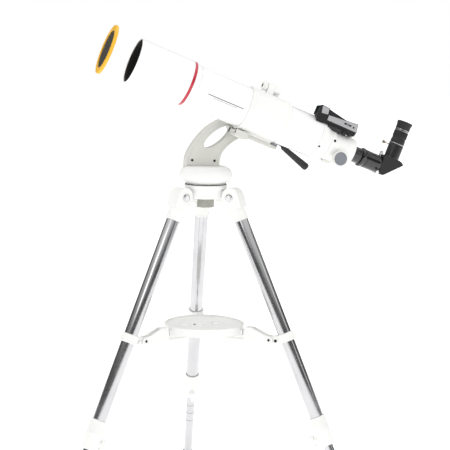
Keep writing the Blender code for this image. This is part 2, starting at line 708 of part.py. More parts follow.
def make_eyepiece(eyepiece):
    profile = [
        (22, 13.6), (22, BARREL_R), (62.3, BARREL_R), (62.3, 16.4), (64, 17), (72, 17),
        (73.5, 16.2), (77, 16.2), (78.5, 17), (93, 17), (94, 16.2), (97, 16.2), (98, 17),
        (108, 17), (112, 18), (115, 18.5), (117, 18), (117, 13), (112, 9.5), (109, 9.5),
        (109, 0), (68, 0), (66, 13.6),
    ]
    piece("eyepiece", turned(profile, "Z", 24), eyepiece, "black_plastic")


def make_eyepiece_screw(screw_frame):
    base = 17.6 - 16.4
    profile = [
        (0, 0), (0, 1.2), (base + 1, 1.2), (base + 13, 1.2), (base + 13, 3.2), (base + 14, 4),
        (base + 17, 4), (base + 18, 3.2), (base + 18, 0),
    ]
    profile = [(-along, radius) for along, radius in profile]
    piece("eyepiece_screw", turned(profile, "X", 10), screw_frame, "bright_chrome")


def make_finder_bracket(finder):
    shoe = prism([(-11, 43), (11, 43), (13, 51.2), (-13, 51.2)], "X", 158, 204)
    bracket = piece("finder_bracket", shape=shoe, parent=finder, colour="black_plastic")
    join(bracket, box((164, -9, 34), (194, 9, 44)))
    under = [(140, 0), (140, TUBE_R + GAP)]
    under += [(along, radius + GAP) for along, radius in CELL_OUTER + BODY_OUTER[:6]]
    cut(bracket, turned(under + [(210, 0)], "X", 36))


def make_finder_body(finder, shoe_frame, tube_frame):
    side = [
        (124, 40), (127, 32), (141, 31), (146, 34), (160, 34), (164, 29), (204, 29), (208, 34),
        (214, 34), (220, 30.5), (227, 31.5), (230, 42), (227.5, 62), (197, 60.5), (150, 69),
        (148, 70.5), (128, 71.5), (126, 70),
    ]
    body = piece("finder_body", prism(side, "Y", -15, 15, 1.2), finder, "black_plastic")
    window = prism(
        [*arc((9, 66), 2, 0, 90, 3), *arc((-9, 66), 2, 90, 180, 3),
         *arc((-9, 52), 2, 180, 270, 3), *arc((9, 52), 2, 270, 360, 3)], "X", 110, 142
    )
    channel = box((137, -9.5, 52), (203, 9.5, 110))
    sides = [
        prism([(149.5, 55.5), (149.5, 110), (240, 110), (240, 63.5), (197, 59)], "Y", y, y + 10)
        for y in (-21, 11)
    ]
    under = [(100, 0), (100, TUBE_R + 2)]
    under += [(along, radius + 2) for along, radius in CELL_OUTER + BODY_OUTER[:6]]
    cut(body, turned(under + [(245, 35.4), (245, 0)], "X", 36), parent=tube_frame)
    cut(body, box((157.7, -13.4, 30), (204.3, 13.4, 51.2 + GAP)), parent=shoe_frame)
    cut(body, window, channel, *sides)
    pane = [(-10.3, 51), (10.3, 51), (10.3, 67), (-10.3, 67)]
    piece("finder_window", prism(pane, "X", 130, 132, 0.3), finder, "clear_glass")


def make_optics(tube_frame):
    make_solar_filter(frame_at("filter_slide", tube_frame))
    make_front(tube_frame)
    make_ring_half("tube_ring_near", -1, tube_frame)
    make_ring_half("tube_ring_far", 1, tube_frame)
    make_ring_knob(frame_at("ring_pin", tube_frame, (0, 0, RING_PIN_Z)))
    make_dovetail_bar(tube_frame)
    make_rear_cell(tube_frame)
    make_focuser_body(tube_frame)
    make_focuser_shaft(frame_at("focus_axis", tube_frame, (FOCUS_X, 0, FOCUS_Z)))
    draw = frame_at("draw_slide", tube_frame)
    make_drawtube(draw)
    make_holder_screw(frame_at("holder_screw_axis", draw, (HOLDER_SCREW_X, 0, 0), (HOLDER_SCREW_TURN, 0, 0)))
    diagonal = frame_at("diagonal_axis", draw)
    make_diagonal(diagonal)
    make_eyepiece(frame_at("eyepiece_axis", diagonal, (EYEPIECE_X, 0, 0)))
    make_eyepiece_screw(frame_at("eyepiece_screw_axis", diagonal, (EYEPIECE_X - 16.4, 0, 55)))
    shoe_frame = frame_at("finder_tilt", tube_frame, turn=(FINDER_TILT, 0, 0))
    make_finder_bracket(shoe_frame)
    make_finder_body(frame_at("finder_level", tube_frame, FINDER_AT, (FINDER_LEAN, 0, 0)), shoe_frame, tube_frame)


def main():
    clear_scene()
    head = frame_at("head", place=(AXIS_X, AXIS_Y, HINGE_HEIGHT))
    make_tripod(head)
    azimuth = frame_at("azimuth_axis", head)
    make_azimuth_disc(azimuth)
    make_arm(azimuth)
    make_azimuth_knob(frame_at("azimuth_knob_axis", azimuth))
    altitude = frame_at("altitude_axis", azimuth, (PIVOT_X, 0, PIVOT_Z), (0, ELEVATION, 0))
    make_altitude_knob(frame_at("altitude_knob_axis", altitude))
    tube_frame = frame_at("tube_axis", altitude, TUBE_FROM_PIVOT)
    make_saddle(tube_frame)
    make_saddle_knob(frame_at("saddle_knob_axis", tube_frame, (-33, 0, -57)))
    make_handle(tube_frame, frame_at("grip_axis", tube_frame, GRIP_PLACE, (0, GRIP_SLOPE, 0)))
    make_optics(tube_frame)


main()
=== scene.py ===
"""The looks of a small refractor telescope on a single-arm mount and a steel tripod.

Lengths are in millimetres and angles in degrees; the helpers scale to metres. Each assembly has a
frame of its own: the tripod's head, the three legs, and the tube, where X runs to the rear along
the tube's axis, Y to the arm's side and Z away from the tripod.
"""

import math

import bmesh
import bpy
from mathutils import Matrix, Vector


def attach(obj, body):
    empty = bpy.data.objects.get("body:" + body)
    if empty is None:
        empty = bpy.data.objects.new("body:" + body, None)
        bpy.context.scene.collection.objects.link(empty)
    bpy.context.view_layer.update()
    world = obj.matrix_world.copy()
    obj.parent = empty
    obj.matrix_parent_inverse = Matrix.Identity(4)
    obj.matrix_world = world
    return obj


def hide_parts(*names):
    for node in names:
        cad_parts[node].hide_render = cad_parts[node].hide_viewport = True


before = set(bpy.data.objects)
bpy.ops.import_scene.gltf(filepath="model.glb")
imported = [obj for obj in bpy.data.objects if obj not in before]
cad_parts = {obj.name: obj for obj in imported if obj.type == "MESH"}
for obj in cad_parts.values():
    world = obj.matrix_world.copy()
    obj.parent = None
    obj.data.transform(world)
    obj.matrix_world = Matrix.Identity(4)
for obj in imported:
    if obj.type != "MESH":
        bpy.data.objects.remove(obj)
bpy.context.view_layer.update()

MM = 0.001
LEG_AZIMUTH = {"back": 80.6, "left": 200.6, "right": 320.6}
LEG_SPLAY = 24.0
HINGE_RADIUS = 67.4
HINGE_HEIGHT = 776.5
AXIS_X = -54.55
AXIS_Y = -68.92
PIVOT_X = 80.0
PIVOT_Z = 160.4
ELEVATION = 21.65
TUBE_FROM_PIVOT = (11.6, -58.0, 41.2)
TUBE_R = 47.2
EYEPIECE_X = 348.5
FOCUS_X = 212.0
FOCUS_Z = -25.5
KNOB_Z = -592.0
SPREADER_PIN = (-39.4, -338.2)
CLAMP_SCREW = (-26, -345.6)
HOLDER_SCREW_X = 318.5
BARREL_R = 15.875
BARREL_BORE = 16.175
WHITE = "off_white_plastic"
WARM_WHITE = "warm_white_plastic"
# From the hinge to the foot's round end, and to the lower tube's end in it.
LEG_LENGTH = (HINGE_HEIGHT - 11) / math.cos(math.radians(LEG_SPLAY))
LOWER_TUBE_END = LEG_LENGTH - 10


def place(x, y, z):
    return Matrix.Translation(Vector((x, y, z)) * MM)


def turn(angle, axis):
    return Matrix.Rotation(math.radians(angle), 4, axis)


HEAD = place(AXIS_X, AXIS_Y, HINGE_HEIGHT)
ALTITUDE = HEAD @ place(PIVOT_X, 0, PIVOT_Z) @ turn(ELEVATION, "Y")
TUBE = ALTITUDE @ place(*TUBE_FROM_PIVOT)
SHOE = TUBE @ turn(33, "X")
FINDER = TUBE @ place(0, -23, 1.7) @ turn(-6, "X")
DIAGONAL = TUBE @ place(EYEPIECE_X, 0, 0)


# ---- materials ----

def surface(
    name, colour, roughness, metallic=0.0, coat=0.0, grain=900.0, bump=0.02, tint=0.06,
    stretch=(1, 1, 1), wear=0.1, sheen=0.0,
):
    """A Principled material whose colour, roughness and relief come from noise. grain is the
    relief's frequency per metre, and stretch draws it out along an axis, as brushing does."""
    made = bpy.data.materials.new(name)
    made.use_nodes = True
    nodes = made.node_tree.nodes
    links = made.node_tree.links
    shader = nodes["Principled BSDF"]
    shader.inputs["Metallic"].default_value = metallic
    shader.inputs["Coat Weight"].default_value = coat
    shader.inputs["Coat Roughness"].default_value = 0.06
    shader.inputs["Sheen Weight"].default_value = sheen

    where = nodes.new("ShaderNodeTexCoord")
    drawn = nodes.new("ShaderNodeMapping")
    drawn.inputs["Scale"].default_value = stretch
    links.new(where.outputs["Object"], drawn.inputs["Vector"])

    fine = nodes.new("ShaderNodeTexNoise")
    fine.inputs["Scale"].default_value = grain
    fine.inputs["Detail"].default_value = 4.0
    links.new(drawn.outputs["Vector"], fine.inputs["Vector"])
    broad = nodes.new("ShaderNodeTexNoise")
    broad.inputs["Scale"].default_value = 14.0
    broad.inputs["Detail"].default_value = 5.0
    links.new(where.outputs["Object"], broad.inputs["Vector"])

    shades = nodes.new("ShaderNodeValToRGB")
    shades.color_ramp.elements[0].position = 0.3
    shades.color_ramp.elements[1].position = 0.7
    shades.color_ramp.elements[0].color = (*[part * (1 - tint) for part in colour], 1)
    shades.color_ramp.elements[1].color = (*[min(part * (1 + tint * 0.5), 1) for part in colour], 1)
    mixed = nodes.new("ShaderNodeMath")
    mixed.operation = "MULTIPLY_ADD"
    mixed.inputs[1].default_value = 0.35
    links.new(fine.outputs["Fac"], mixed.inputs[0])
    links.new(broad.outputs["Fac"], mixed.inputs[2])
    half = nodes.new("ShaderNodeMath")
    half.operation = "MULTIPLY"
    half.inputs[1].default_value = 0.74
    links.new(mixed.outputs["Value"], half.inputs[0])
    links.new(half.outputs["Value"], shades.inputs["Fac"])
    links.new(shades.outputs["Color"], shader.inputs["Base Color"])

    gloss = nodes.new("ShaderNodeMapRange")
    gloss.inputs["From Min"].default_value = 0.25
    gloss.inputs["From Max"].default_value = 0.75
    gloss.inputs["To Min"].default_value = max(roughness - wear * 0.5, 0.02)
    gloss.inputs["To Max"].default_value = roughness + wear
    links.new(half.outputs["Value"], gloss.inputs["Value"])
    links.new(gloss.outputs["Result"], shader.inputs["Roughness"])

    relief = nodes.new("ShaderNodeBump")
    relief.inputs["Strength"].default_value = bump
    relief.inputs["Distance"].default_value = 0.001
    links.new(fine.outputs["Fac"], relief.inputs["Height"])
    links.new(relief.outputs["Normal"], shader.inputs["Normal"])
    return made


def glass(name, colour, roughness=0.02):
    made = surface(name, colour, roughness, bump=0.002, tint=0.02, wear=0.02, coat=0.6)
    shader = made.node_tree.nodes["Principled BSDF"]
    shader.inputs["Transmission Weight"].default_value = 0.92
    shader.inputs["IOR"].default_value = 1.5
    return made


LOOKS = {
    WHITE: surface("moulded_off_white", (0.83, 0.83, 0.81), 0.42, grain=1800, bump=0.05),
    WARM_WHITE: surface("moulded_warm_grey", (0.62, 0.62, 0.58), 0.45, grain=1800, bump=0.05),
    "rim_white": surface("moulded_rim", (0.76, 0.76, 0.72), 0.4, grain=1800, bump=0.04),
    "white_paint": surface(
        "gloss_white_paint", (0.88, 0.88, 0.88), 0.2, coat=0.5, grain=500, bump=0.008, tint=0.02
    ),
    "shield_black": surface(
        "flocked_black", (0.010, 0.010, 0.011), 0.85, grain=2600, bump=0.3, sheen=0.1
    ),
    "red_band": surface("crimson_gloss", (0.50, 0.012, 0.035), 0.22, coat=0.6, bump=0.01),
    "leg_steel": surface(
        "polished_leg_steel", (0.60, 0.60, 0.61), 0.16, 1.0, grain=700, bump=0.02, tint=0.1,
        stretch=(1, 1, 0.02), wear=0.12
    ),
    "foot_rubber": surface("foot_rubber", (0.018, 0.018, 0.018), 0.75, grain=1500, bump=0.15),
    "grip_rubber": surface(
        "grip_rubber", (0.012, 0.012, 0.013), 0.5, grain=1500, bump=0.12, coat=0.1
    ),
    "rod_steel": surface("black_rod", (0.02, 0.02, 0.022), 0.3, 0.4),
    "knob_grey": surface("grey_face", (0.20, 0.21, 0.235), 0.42, grain=1600, bump=0.04),
    "black_plastic": surface(
        "moulded_black", (0.012, 0.012, 0.013), 0.38, grain=1700, bump=0.08, tint=0.3
    ),
    "gloss_black": surface(
        "gloss_black", (0.008, 0.008, 0.009), 0.14, coat=0.7, grain=700, bump=0.01, tint=0.3
    ),
    "ribbed_black": surface(
        "eyepiece_rubber", (0.014, 0.014, 0.015), 0.6, grain=1500, bump=0.15, tint=0.3
    ),
    "silver_plastic": surface("silver_grey", (0.44, 0.44, 0.45), 0.38, 0.25, grain=2200, bump=0.05),
    "chrome": surface("bright_chrome", (0.74, 0.74, 0.75), 0.12, 1.0, bump=0.01, wear=0.08),
    "bronze": surface("bronze_steel", (0.42, 0.33, 0.24), 0.25, 1.0, bump=0.01),
    "black_screw": surface("black_screw", (0.02, 0.02, 0.02), 0.35, 0.6, grain=1200),
    "amber_card": surface(
        "amber_filter_ring", (0.86, 0.47, 0.02), 0.42, grain=1300, bump=0.08, tint=0.12
    ),
    "filter_foil": surface(
        "filter_foil", (0.22, 0.20, 0.17), 0.16, 0.85, grain=38, bump=0.35, tint=0.25, wear=0.1
    ),
    "mirror": surface(
        "mirror_face", (0.86, 0.86, 0.87), 0.03, 1.0, bump=0.001, tint=0.01, wear=0.01
    ),
    "lens_glass": glass("coated_lens", (0.62, 0.80, 0.74)),
    "knob_stone": surface("moulded_stone_grey", (0.34, 0.34, 0.30), 0.45, grain=1800, bump=0.05),
    "mark": surface("tube_lines", (0.035, 0.035, 0.04), 0.35),
}


# ---- shapes, as bmeshes in millimetres ----

AXIS_TURN = {
    "X": Matrix.Identity(4),
    "Y": Matrix(((0, 1, 0, 0), (1, 0, 0, 0), (0, 0, -1, 0), (0, 0, 0, 1))),
    "Z": Matrix(((0, 0, 1, 0), (0, 1, 0, 0), (1, 0, 0, 0), (0, 0, 0, 1))),
}


def turned(profile, axis="X", steps=96, centre=(0, 0, 0), sweep=360.0, start=0.0):
    """Turns a closed profile of (distance along the axis, radius)."""
    shape = bmesh.new()
    points = [shape.verts.new((along, radius, 0)) for along, radius in profile]
    if sweep < 360:
        geometry = [shape.faces.new(points)]
    else:
        pairs = zip(points, points[1:] + points[:1])
        geometry = [shape.edges.new(pair) for pair in pairs if pair[0].co.y + pair[1].co.y > 0]
    bmesh.ops.rotate(shape, verts=points, matrix=Matrix.Rotation(math.radians(start), 3, "X"))
    bmesh.ops.spin(
        shape, geom=points + geometry, axis=(1, 0, 0), cent=(0, 0, 0),
        angle=math.radians(sweep), steps=steps, use_merge=sweep >= 360,
    )
    bmesh.ops.remove_doubles(shape, verts=shape.verts, dist=0.0005)
    bmesh.ops.transform(shape, matrix=AXIS_TURN[axis], verts=shape.verts)
    bmesh.ops.translate(shape, vec=centre, verts=shape.verts)
    return shape


def cylinder(axis, low, high, radius, centre=(0, 0, 0), steps=48):
    return turned([(low, 0), (low, radius), (high, radius), (high, 0)], axis, steps, centre)


def ring(axis, low, high, radius, bore, steps=96, centre=(0, 0, 0), edge=0.4):
    """A tube with rounded rims."""
    loop = [
        (low, bore + edge), (low + edge * 0.3, bore + edge * 0.3), (low + edge, bore),
        (high - edge, bore), (high - edge * 0.3, bore + edge * 0.3), (high, bore + edge),
        (high, radius - edge), (high - edge * 0.3, radius - edge * 0.3), (high - edge, radius),
        (low + edge, radius), (low + edge * 0.3, radius - edge * 0.3), (low, radius - edge),
    ]
    return turned(loop, axis, steps, centre)


def prism(outline, axis, low, high):
    shape = bmesh.new()
    spot = {
        "X": lambda p, q: (low, p, q),
        "Y": lambda p, q: (p, low, q),
        "Z": lambda p, q: (p, q, low),
    }[axis]
    face = shape.faces.new([shape.verts.new(spot(p, q)) for p, q in outline])
    step = Vector([high - low if letter == axis else 0 for letter in "XYZ"])
    grown = bmesh.ops.extrude_face_region(shape, geom=[face], use_keep_orig=True)["geom"]
    bmesh.ops.translate(
        shape, vec=step, verts=[item for item in grown if isinstance(item, bmesh.types.BMVert)]
    )
    return shape


def box(low, high):
    shape = bmesh.new()
    bmesh.ops.create_cube(shape, size=1)
    size = Vector(high) - Vector(low)
    bmesh.ops.scale(shape, vec=size, verts=shape.verts)
    bmesh.ops.translate(shape, vec=Vector(low) + size / 2, verts=shape.verts)
    return shape


def rod(route, radii, steps=20):
    """A round rod along a route, with one radius for each of its points."""
    shape = bmesh.new()
    rings = []
    for number, point in enumerate(route):
        before = Vector(route[max(number - 1, 0)])
        after = Vector(route[min(number + 1, len(route) - 1)])
        swing = (after - before).normalized().to_track_quat("Z", "Y").to_matrix()
        loop = []
        for step in range(steps):
            angle = math.tau * step / steps
            offset = swing @ Vector((math.cos(angle), math.sin(angle), 0)) * radii[number]
            loop.append(shape.verts.new(Vector(point) + offset))
        rings.append(loop)
    for lower, upper in zip(rings, rings[1:]):
        for step in range(steps):
            nxt = (step + 1) % steps
            shape.faces.new((lower[step], lower[nxt], upper[nxt], upper[step]))
    shape.faces.new(rings[0])
    shape.faces.new(rings[-1])
    return shape


def arc(centre, radius, start, end, count):
    angles = [math.radians(start + (end - start) * step / count) for step in range(count + 1)]
    return [
        (centre[0] + radius * math.cos(angle), centre[1] + radius * math.sin(angle))
        for angle in angles
    ]


def rounded_box(width, height, radius, count=6):
    """The outline of a rectangle with round corners, centred on the origin."""
    p = width / 2 - radius
    q = height / 2 - radius
    return [
        *arc((p, q), radius, 0, 90, count), *arc((-p, q), radius, 90, 180, count),
        *arc((-p, -q), radius, 180, 270, count), *arc((p, -q), radius, 270, 360, count),
    ]


def round_outline(reach, count):
    """Points all round the origin, each as far from it as reach says for its angle."""
    angles = [math.tau * step / count for step in range(count)]
    return [(reach(angle) * math.cos(angle), reach(angle) * math.sin(angle)) for angle in angles]


def lobed(radius, lobes, depth, count):
    return round_outline(
        lambda angle: radius - depth * (0.5 - 0.5 * math.cos(lobes * angle)), count
    )


def smooth(knots, steps=8):
    """A Catmull-Rom curve through the knots of an open run."""
    ends = [knots[0], *knots, knots[-1]]
    points = []
    for a, b, c, d in zip(ends, ends[1:], ends[2:], ends[3:]):
        for step in range(steps):
            t = step / steps
            points.append(tuple(
                0.5 * (2 * q + (r - p) * t + (2 * p - 5 * q + 4 * r - s) * t * t
                       + (3 * q - p - 3 * r + s) * t ** 3)
                for p, q, r, s in zip(a, b, c, d)
            ))
    return points + [knots[-1]]


def inset(outline, amount):
    """The outline moved inwards by an amount, corner by corner."""
    area = sum(a[0] * b[1] - b[0] * a[1] for a, b in zip(outline, outline[1:] + outline[:1]))
    sign = 1 if area > 0 else -1
    moved = []
    for before, here, after in zip(outline[-1:] + outline[:-1], outline, outline[1:] + outline[:1]):
        one = (Vector(here) - Vector(before)).normalized()
        two = (Vector(after) - Vector(here)).normalized()
        normal = Vector((-(one.y + two.y), one.x + two.x)).normalized() * sign
        lean = max(normal.dot(Vector((-one.y, one.x)) * sign), 0.4)
        moved.append(tuple(Vector(here) + normal * amount / lean))
    return moved


def moved(shape, matrix):
    bmesh.ops.transform(shape, matrix=matrix, verts=shape.verts)
    return shape


def in_mm(matrix):
    """A placement in metres, as one for a shape that is still in millimetres."""
    scaled = matrix.copy()
    scaled.translation = matrix.translation / MM
    return scaled


def shift(x, y, z):
    """Like place, for a shape that is still in millimetres."""
    return Matrix.Translation((x, y, z))


# ---- pieces ----

def helper(shape):
    bmesh.ops.recalc_face_normals(shape, faces=shape.faces)
    mesh = bpy.data.meshes.new("helper")
    shape.to_mesh(mesh)
    shape.free()
    made = bpy.data.objects.new("helper", mesh)
    bpy.context.scene.collection.objects.link(made)
    return made


def carved(shape, cuts=(), joins=()):
    """The shape with the other shapes joined on and then cut away."""
    body = helper(shape)
    tools = []
    for operation, others in (("UNION", joins), ("DIFFERENCE", cuts)):
        for other in others:
            tool = helper(other)
            step = body.modifiers.new("step", "BOOLEAN")
            step.operation = operation
            step.object = tool
            tools.append(tool)
    graph = bpy.context.evaluated_depsgraph_get()
    result = bmesh.new()
    result.from_mesh(body.evaluated_get(graph).data)
    for old in [body, *tools]:
        bpy.data.objects.remove(old)
    return result


def piece(name, shape, place_at, body, look, node=None, bevel=0.0, segments=2, angle=35):
    """Makes a visible piece of a shape in mm, in the frame place_at. It rides on a body, and
    stands for the CAD node of the same name where node is True."""
    bmesh.ops.scale(shape, vec=(MM, MM, MM), verts=shape.verts)
    bmesh.ops.recalc_face_normals(shape, faces=shape.faces)
    mesh = bpy.data.meshes.new(name)
    shape.to_mesh(mesh)
    shape.free()
    mesh.materials.append(LOOKS[look])
    made = bpy.data.objects.new(f"{name}_look" if node else name, mesh)
    bpy.context.scene.collection.objects.link(made)
    made.matrix_world = place_at
    if bevel:
        edge = made.modifiers.new("edges", "BEVEL")
        edge.width = bevel * MM
        edge.segments = segments
        edge.limit_method = "ANGLE"
        edge.angle_limit = math.radians(angle)
    mesh.shade_smooth()
    mesh.set_sharp_from_angle(angle=math.radians(angle))
    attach(made, body)
    if node:
        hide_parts(name)
    return made


def screw(name, place_at, body, radius, height, look="black_screw"):
    """A pan-head screw with a cross recess, standing on the frame's XY plane."""
    dome = [
        (0, 0), (0, radius), (height * 0.5, radius * 0.96), (height * 0.85, radius * 0.7),
        (height, 0),
    ]
    long, short = radius * 0.62, radius * 0.13
    slots = [
        box((-x, -y, height * 0.35), (x, y, height + 1)) for x, y in ((long, short), (short, long))
    ]
    return piece(name, carved(turned(dome, "Z", 24), slots), place_at, body, look)


def on_tube(along, angle, radius):
    """A frame on the tube's surface: Z points out, at an angle from the top towards -Y."""
    return TUBE @ turn(angle, "X") @ place(along, 0, radius)


def knurl(radius, count, depth):
    return lobed(radius, count, depth, count * 6)


# ---- tripod ----

def make_hub():
    profile = [
        (-5, 0), (-5, 37), (-4, 40), (-1, 46), (0.5, 47), (15.5, 47), (17.5, 48), (18.5, 49.6),
        (19.5, 50), (26.0, 50), (26.8, 49.6), (27.1, 49), (27.1, 46), (28.4, 46), (28.4, 0),
    ]
    lugs = []
    holes = [cylinder("Z", -20, 40, 6.5)]
    for azimuth in LEG_AZIMUTH.values():
        spin = turn(azimuth, "Z")
        tongue = [(30, -12), *arc((HINGE_RADIUS, 0), 12, -90, 90, 24), (30, 12)]
        lugs.append(moved(prism(tongue, "Y", -9, 9), spin))
        holes.append(moved(cylinder("Y", -12, 12, 3.9, (HINGE_RADIUS, 0, 0)), spin))
    shape = carved(turned(profile, "Z", 128), holes, lugs)
    piece("tripod_hub", shape, HEAD, "hub", WHITE, True, 0.7)
    seam = ring("Z", 27.2, 28.6, 48.9, 46.2, 96, edge=0.2)
    piece("hub_gasket", seam, HEAD, "hub", "black_plastic")


def make_leg_head(side, leg):
    body = f"{side}_leg"
    outline = [(-17, -30), (19, -30), (22, -8), *arc((2.5, 2.0), 19.5, 0, 180, 32)]
    sleeve = turned(
        [(-58, BARREL_BORE), (-58, 17.2), (-57.3, 18), (-54.5, 18), (-54, 17.4), (-53.5, 17.4),
         (-53, 18), (-20, 18), (-20, BARREL_BORE)], "Z", 64
    )
    slot = prism([(-24, -15), (10, -15), *arc((0, 0), 15, 0, 60, 10), (-24, 30)], "Y", -9.5, 9.5)
    dimple = [cylinder("Y", low, low + 2.2, 9.2) for low in (-20, 17.8)]
    shape = carved(
        prism(outline, "Y", -19, 19),
        [slot, cylinder("Z", -60, -24, BARREL_BORE), cylinder("Y", -25, 25, 3.9), *dimple],
        [sleeve]
    )
    piece(f"{side}_leg_head", shape, leg, body, WHITE, True, 1.6, 4)
    pin = turned([(-20.5, 0), (-20.5, 3.6), (20.5, 3.6), (20.5, 0)], "Y", 32)
    piece(f"{side}_hinge_pin", pin, leg, body, "chrome")
    low = 17.9
    for number, facing in enumerate((180, 0)):
        at = leg @ turn(facing, "Z")
        washer = ring("Y", low, low + 1.5, 8.2, 3.8, 40)
        piece(f"{side}_hinge_washer_{number}", washer, at, body, "chrome")
        nut = prism(arc((0, 0), 5.6, 0, 300, 5), "Y", low + 1.6, low + 5.2)
        piece(f"{side}_hinge_nut_{number}", nut, at, body, "chrome", bevel=0.6)


def make_tubes(side, leg):
    upper = ring("Z", -584, -24.5, BARREL_R, 14.675, 96, edge=0.25)
    piece(f"{side}_upper_tube", upper, leg, f"{side}_leg", "leg_steel", True)
    lower = ring("Z", -LOWER_TUBE_END, -290, 11, 9.8, 72, edge=0.25)
    piece(f"{side}_lower_tube", lower, leg, f"{side}_lower_leg", "leg_steel", True)
    for number, along in enumerate((-640, -665, -690)):
        mark = ring("Z", along - 0.4, along + 0.4, 11.12, 10.9, 72, edge=0.05)
        piece(f"{side}_extension_mark_{number}", mark, leg, f"{side}_lower_leg", "mark")


def make_clamp(side, leg):
    low = -355.6
    high = -335.6
    lug = prism(
        [(-17, low + 3), (-17, high), (-39.4, -330.2), *arc(SPREADER_PIN, 8, 90, 250, 16)],
        "Y", -6, 6
    )
    loop = [
        (low, 16.2), (low, 18.6), (low + 1.4, 20), (low + 4, 20), (low + 4.6, 19.5),
        (high - 4.6, 19.5), (high - 4, 20), (high - 1.4, 20), (high, 18.6), (high, 16.2),
    ]
    split = box((-30, -0.6, low - 1), (-10, 0.6, high + 1))
    shape = carved(
        turned(loop, "Z", 72),
        [cylinder("Y", -8, 8, 3.4, (SPREADER_PIN[0], 0, SPREADER_PIN[1])),
         cylinder("Z", -400, -300, 16.2, steps=72), split],
        [lug]
    )
    piece(f"{side}_spreader_clamp", shape, leg, f"{side}_leg", WHITE, True, 0.5)
    across = leg @ place(CLAMP_SCREW[0], -6, CLAMP_SCREW[1]) @ turn(90, "X")
    screw(f"{side}_clamp_screw", across, f"{side}_leg", 3.6, 2.4)
    nut = prism(arc((0, 0), 3.8, 0, 300, 5), "Y", 6.1, 8.6)
    at = leg @ place(CLAMP_SCREW[0], 0, CLAMP_SCREW[1])
    piece(f"{side}_clamp_nut", nut, at, f"{side}_leg", "chrome", bevel=0.3)


def make_spreader(side, pin):
    body = f"{side}_spreader"
    outline = [
        (-64, -7), (-4, -9), *arc((0, 0), 9, -60, 90, 16), (-9, 10), (-43, 25), (-60, 25),
        (-64, 14),
    ]
    bar = prism([(-145, -7), (-50, -7), (-50, 6), (-145, 6)], "Y", -5, 5)
    flutes = [box((-138, y, -4), (-60, y + 3, 3)) for y in (-6.5, 3.5)]
    cuts = [box((-43, -6.6, -20), (20, 6.6, 40)), *flutes, cylinder("Y", -20, 20, 3.0)]
    shape = carved(prism(outline, "Y", -10, 10), cuts, [bar])
    piece(f"{side}_spreader_arm", shape, pin, body, WHITE, True, 0.7)
    axle = turned(
        [(-11.6, 0), (-11.6, 3.6), (-10.1, 4.6), (-10.1, 2.9), (10.1, 2.9), (10.1, 4.6),
         (11.6, 3.6), (11.6, 0)], "Y", 28
    )
    piece(f"{side}_spreader_axle", axle, pin, body, "chrome")
    for number, way in enumerate((-1, 1)):
        at = pin @ place(0, way * 11.4, 0) @ turn(way * -90, "X")
        screw(f"{side}_axle_head_{number}", at, body, 3.0, 1.5)


def make_collar(side, leg):
    loop = [
        (-609, 11.4), (-609, 15), (-608, 16.2), (-606, 16.8), (-577, 16.8), (-575.5, 17.2),
        (-574.5, 18.3), (-573, 18.6), (-545, 18.6), (-544.3, 18.1), (-543.3, 18.1), (-542.6, 18.6),
        (-541.4, 18.6), (-540.3, 18.0), (-540, 17.2), (-540, BARREL_BORE), (-584.5, BARREL_BORE),
        (-584.5, 11.4),
    ]
    boss = turned([(-23, 0), (-23, 7.2), (-22.2, 8), (-14, 8), (-14, 0)], "X", 48, (0, 0, KNOB_Z))
    grooves = [
        moved(box((18.0, -0.7, -570), (19.5, 0.7, -549)), turn(angle, "Z"))
        for angle in range(20, 341, 16)
    ]
    bores = [cylinder("X", -26, -17, 3.3, (0, 0, KNOB_Z)), cylinder("Z", -620, -600, 11.4)]
    shape = carved(turned(loop, "Z", 96), [*bores, *grooves], [boss])
    piece(f"{side}_lock_collar", shape, leg, f"{side}_leg", WHITE, True, 0.3)


def make_lock_knob(side, knob):
    wing = [
        *smooth([(4.6, 0), (3.7, 5), (3.5, 10.5)], 6), *arc((0, 10.5), 3.5, 0, 180, 14)[1:-1],
        *smooth([(-3.5, 10.5), (-3.7, 5), (-4.6, 0), (-3.7, -5), (-3.5, -10.5)], 6),
        *arc((0, -10.5), 3.5, 180, 360, 14)[1:-1],
        *smooth([(3.5, -10.5), (3.7, -5), (4.6, 0)], 6)[:-1],
    ]
    neck = turned(
        [(-27, 0), (-27, 5.6), (-23.8, 7), (-23.3, 6.6), (-23.3, 3), (-18, 3), (-18, 0)], "X", 40
    )
    shape = carved(prism(wing, "X", -37, -26), joins=[neck])
    piece(f"{side}_lock_knob", shape, knob, f"{side}_lock_knob", WHITE, True, 1.2, 4)


def make_foot(side, leg):
    tip = LEG_LENGTH
    dome = [
        (-tip - 14 * math.cos(math.radians(a)), 14 * math.sin(math.radians(a)))
        for a in range(0, 91, 6)
    ]
    rings = []
    for number in range(4):
        low = -tip + 6 + number * 6
        rings += [(low, 13.6 - number * 0.2), (low + 0.8, 12.9 - number * 0.2),
                  (low + 2, 12.9 - number * 0.2), (low + 2.8, 13.5 - number * 0.2)]
    top = -LOWER_TUBE_END - 0.5
    profile = [
        *dome, *rings, (-tip + 36, 12.8), (-tip + 37.6, 12.6), (-tip + 38, 12), (-tip + 38, 11.3),
        (top, 11.3), (top, 0),
    ]
    floor = box((-60, -60, -60), (60, 60, 0))
    down = Matrix.Translation((0, 0, -HINGE_HEIGHT / math.cos(math.radians(LEG_SPLAY))))
    moved(floor, down @ turn(LEG_SPLAY, "Y"))
    shape = carved(turned(profile, "Z", 56), [floor])
    piece(f"{side}_foot", shape, leg, f"{side}_lower_leg", "foot_rubber", True)


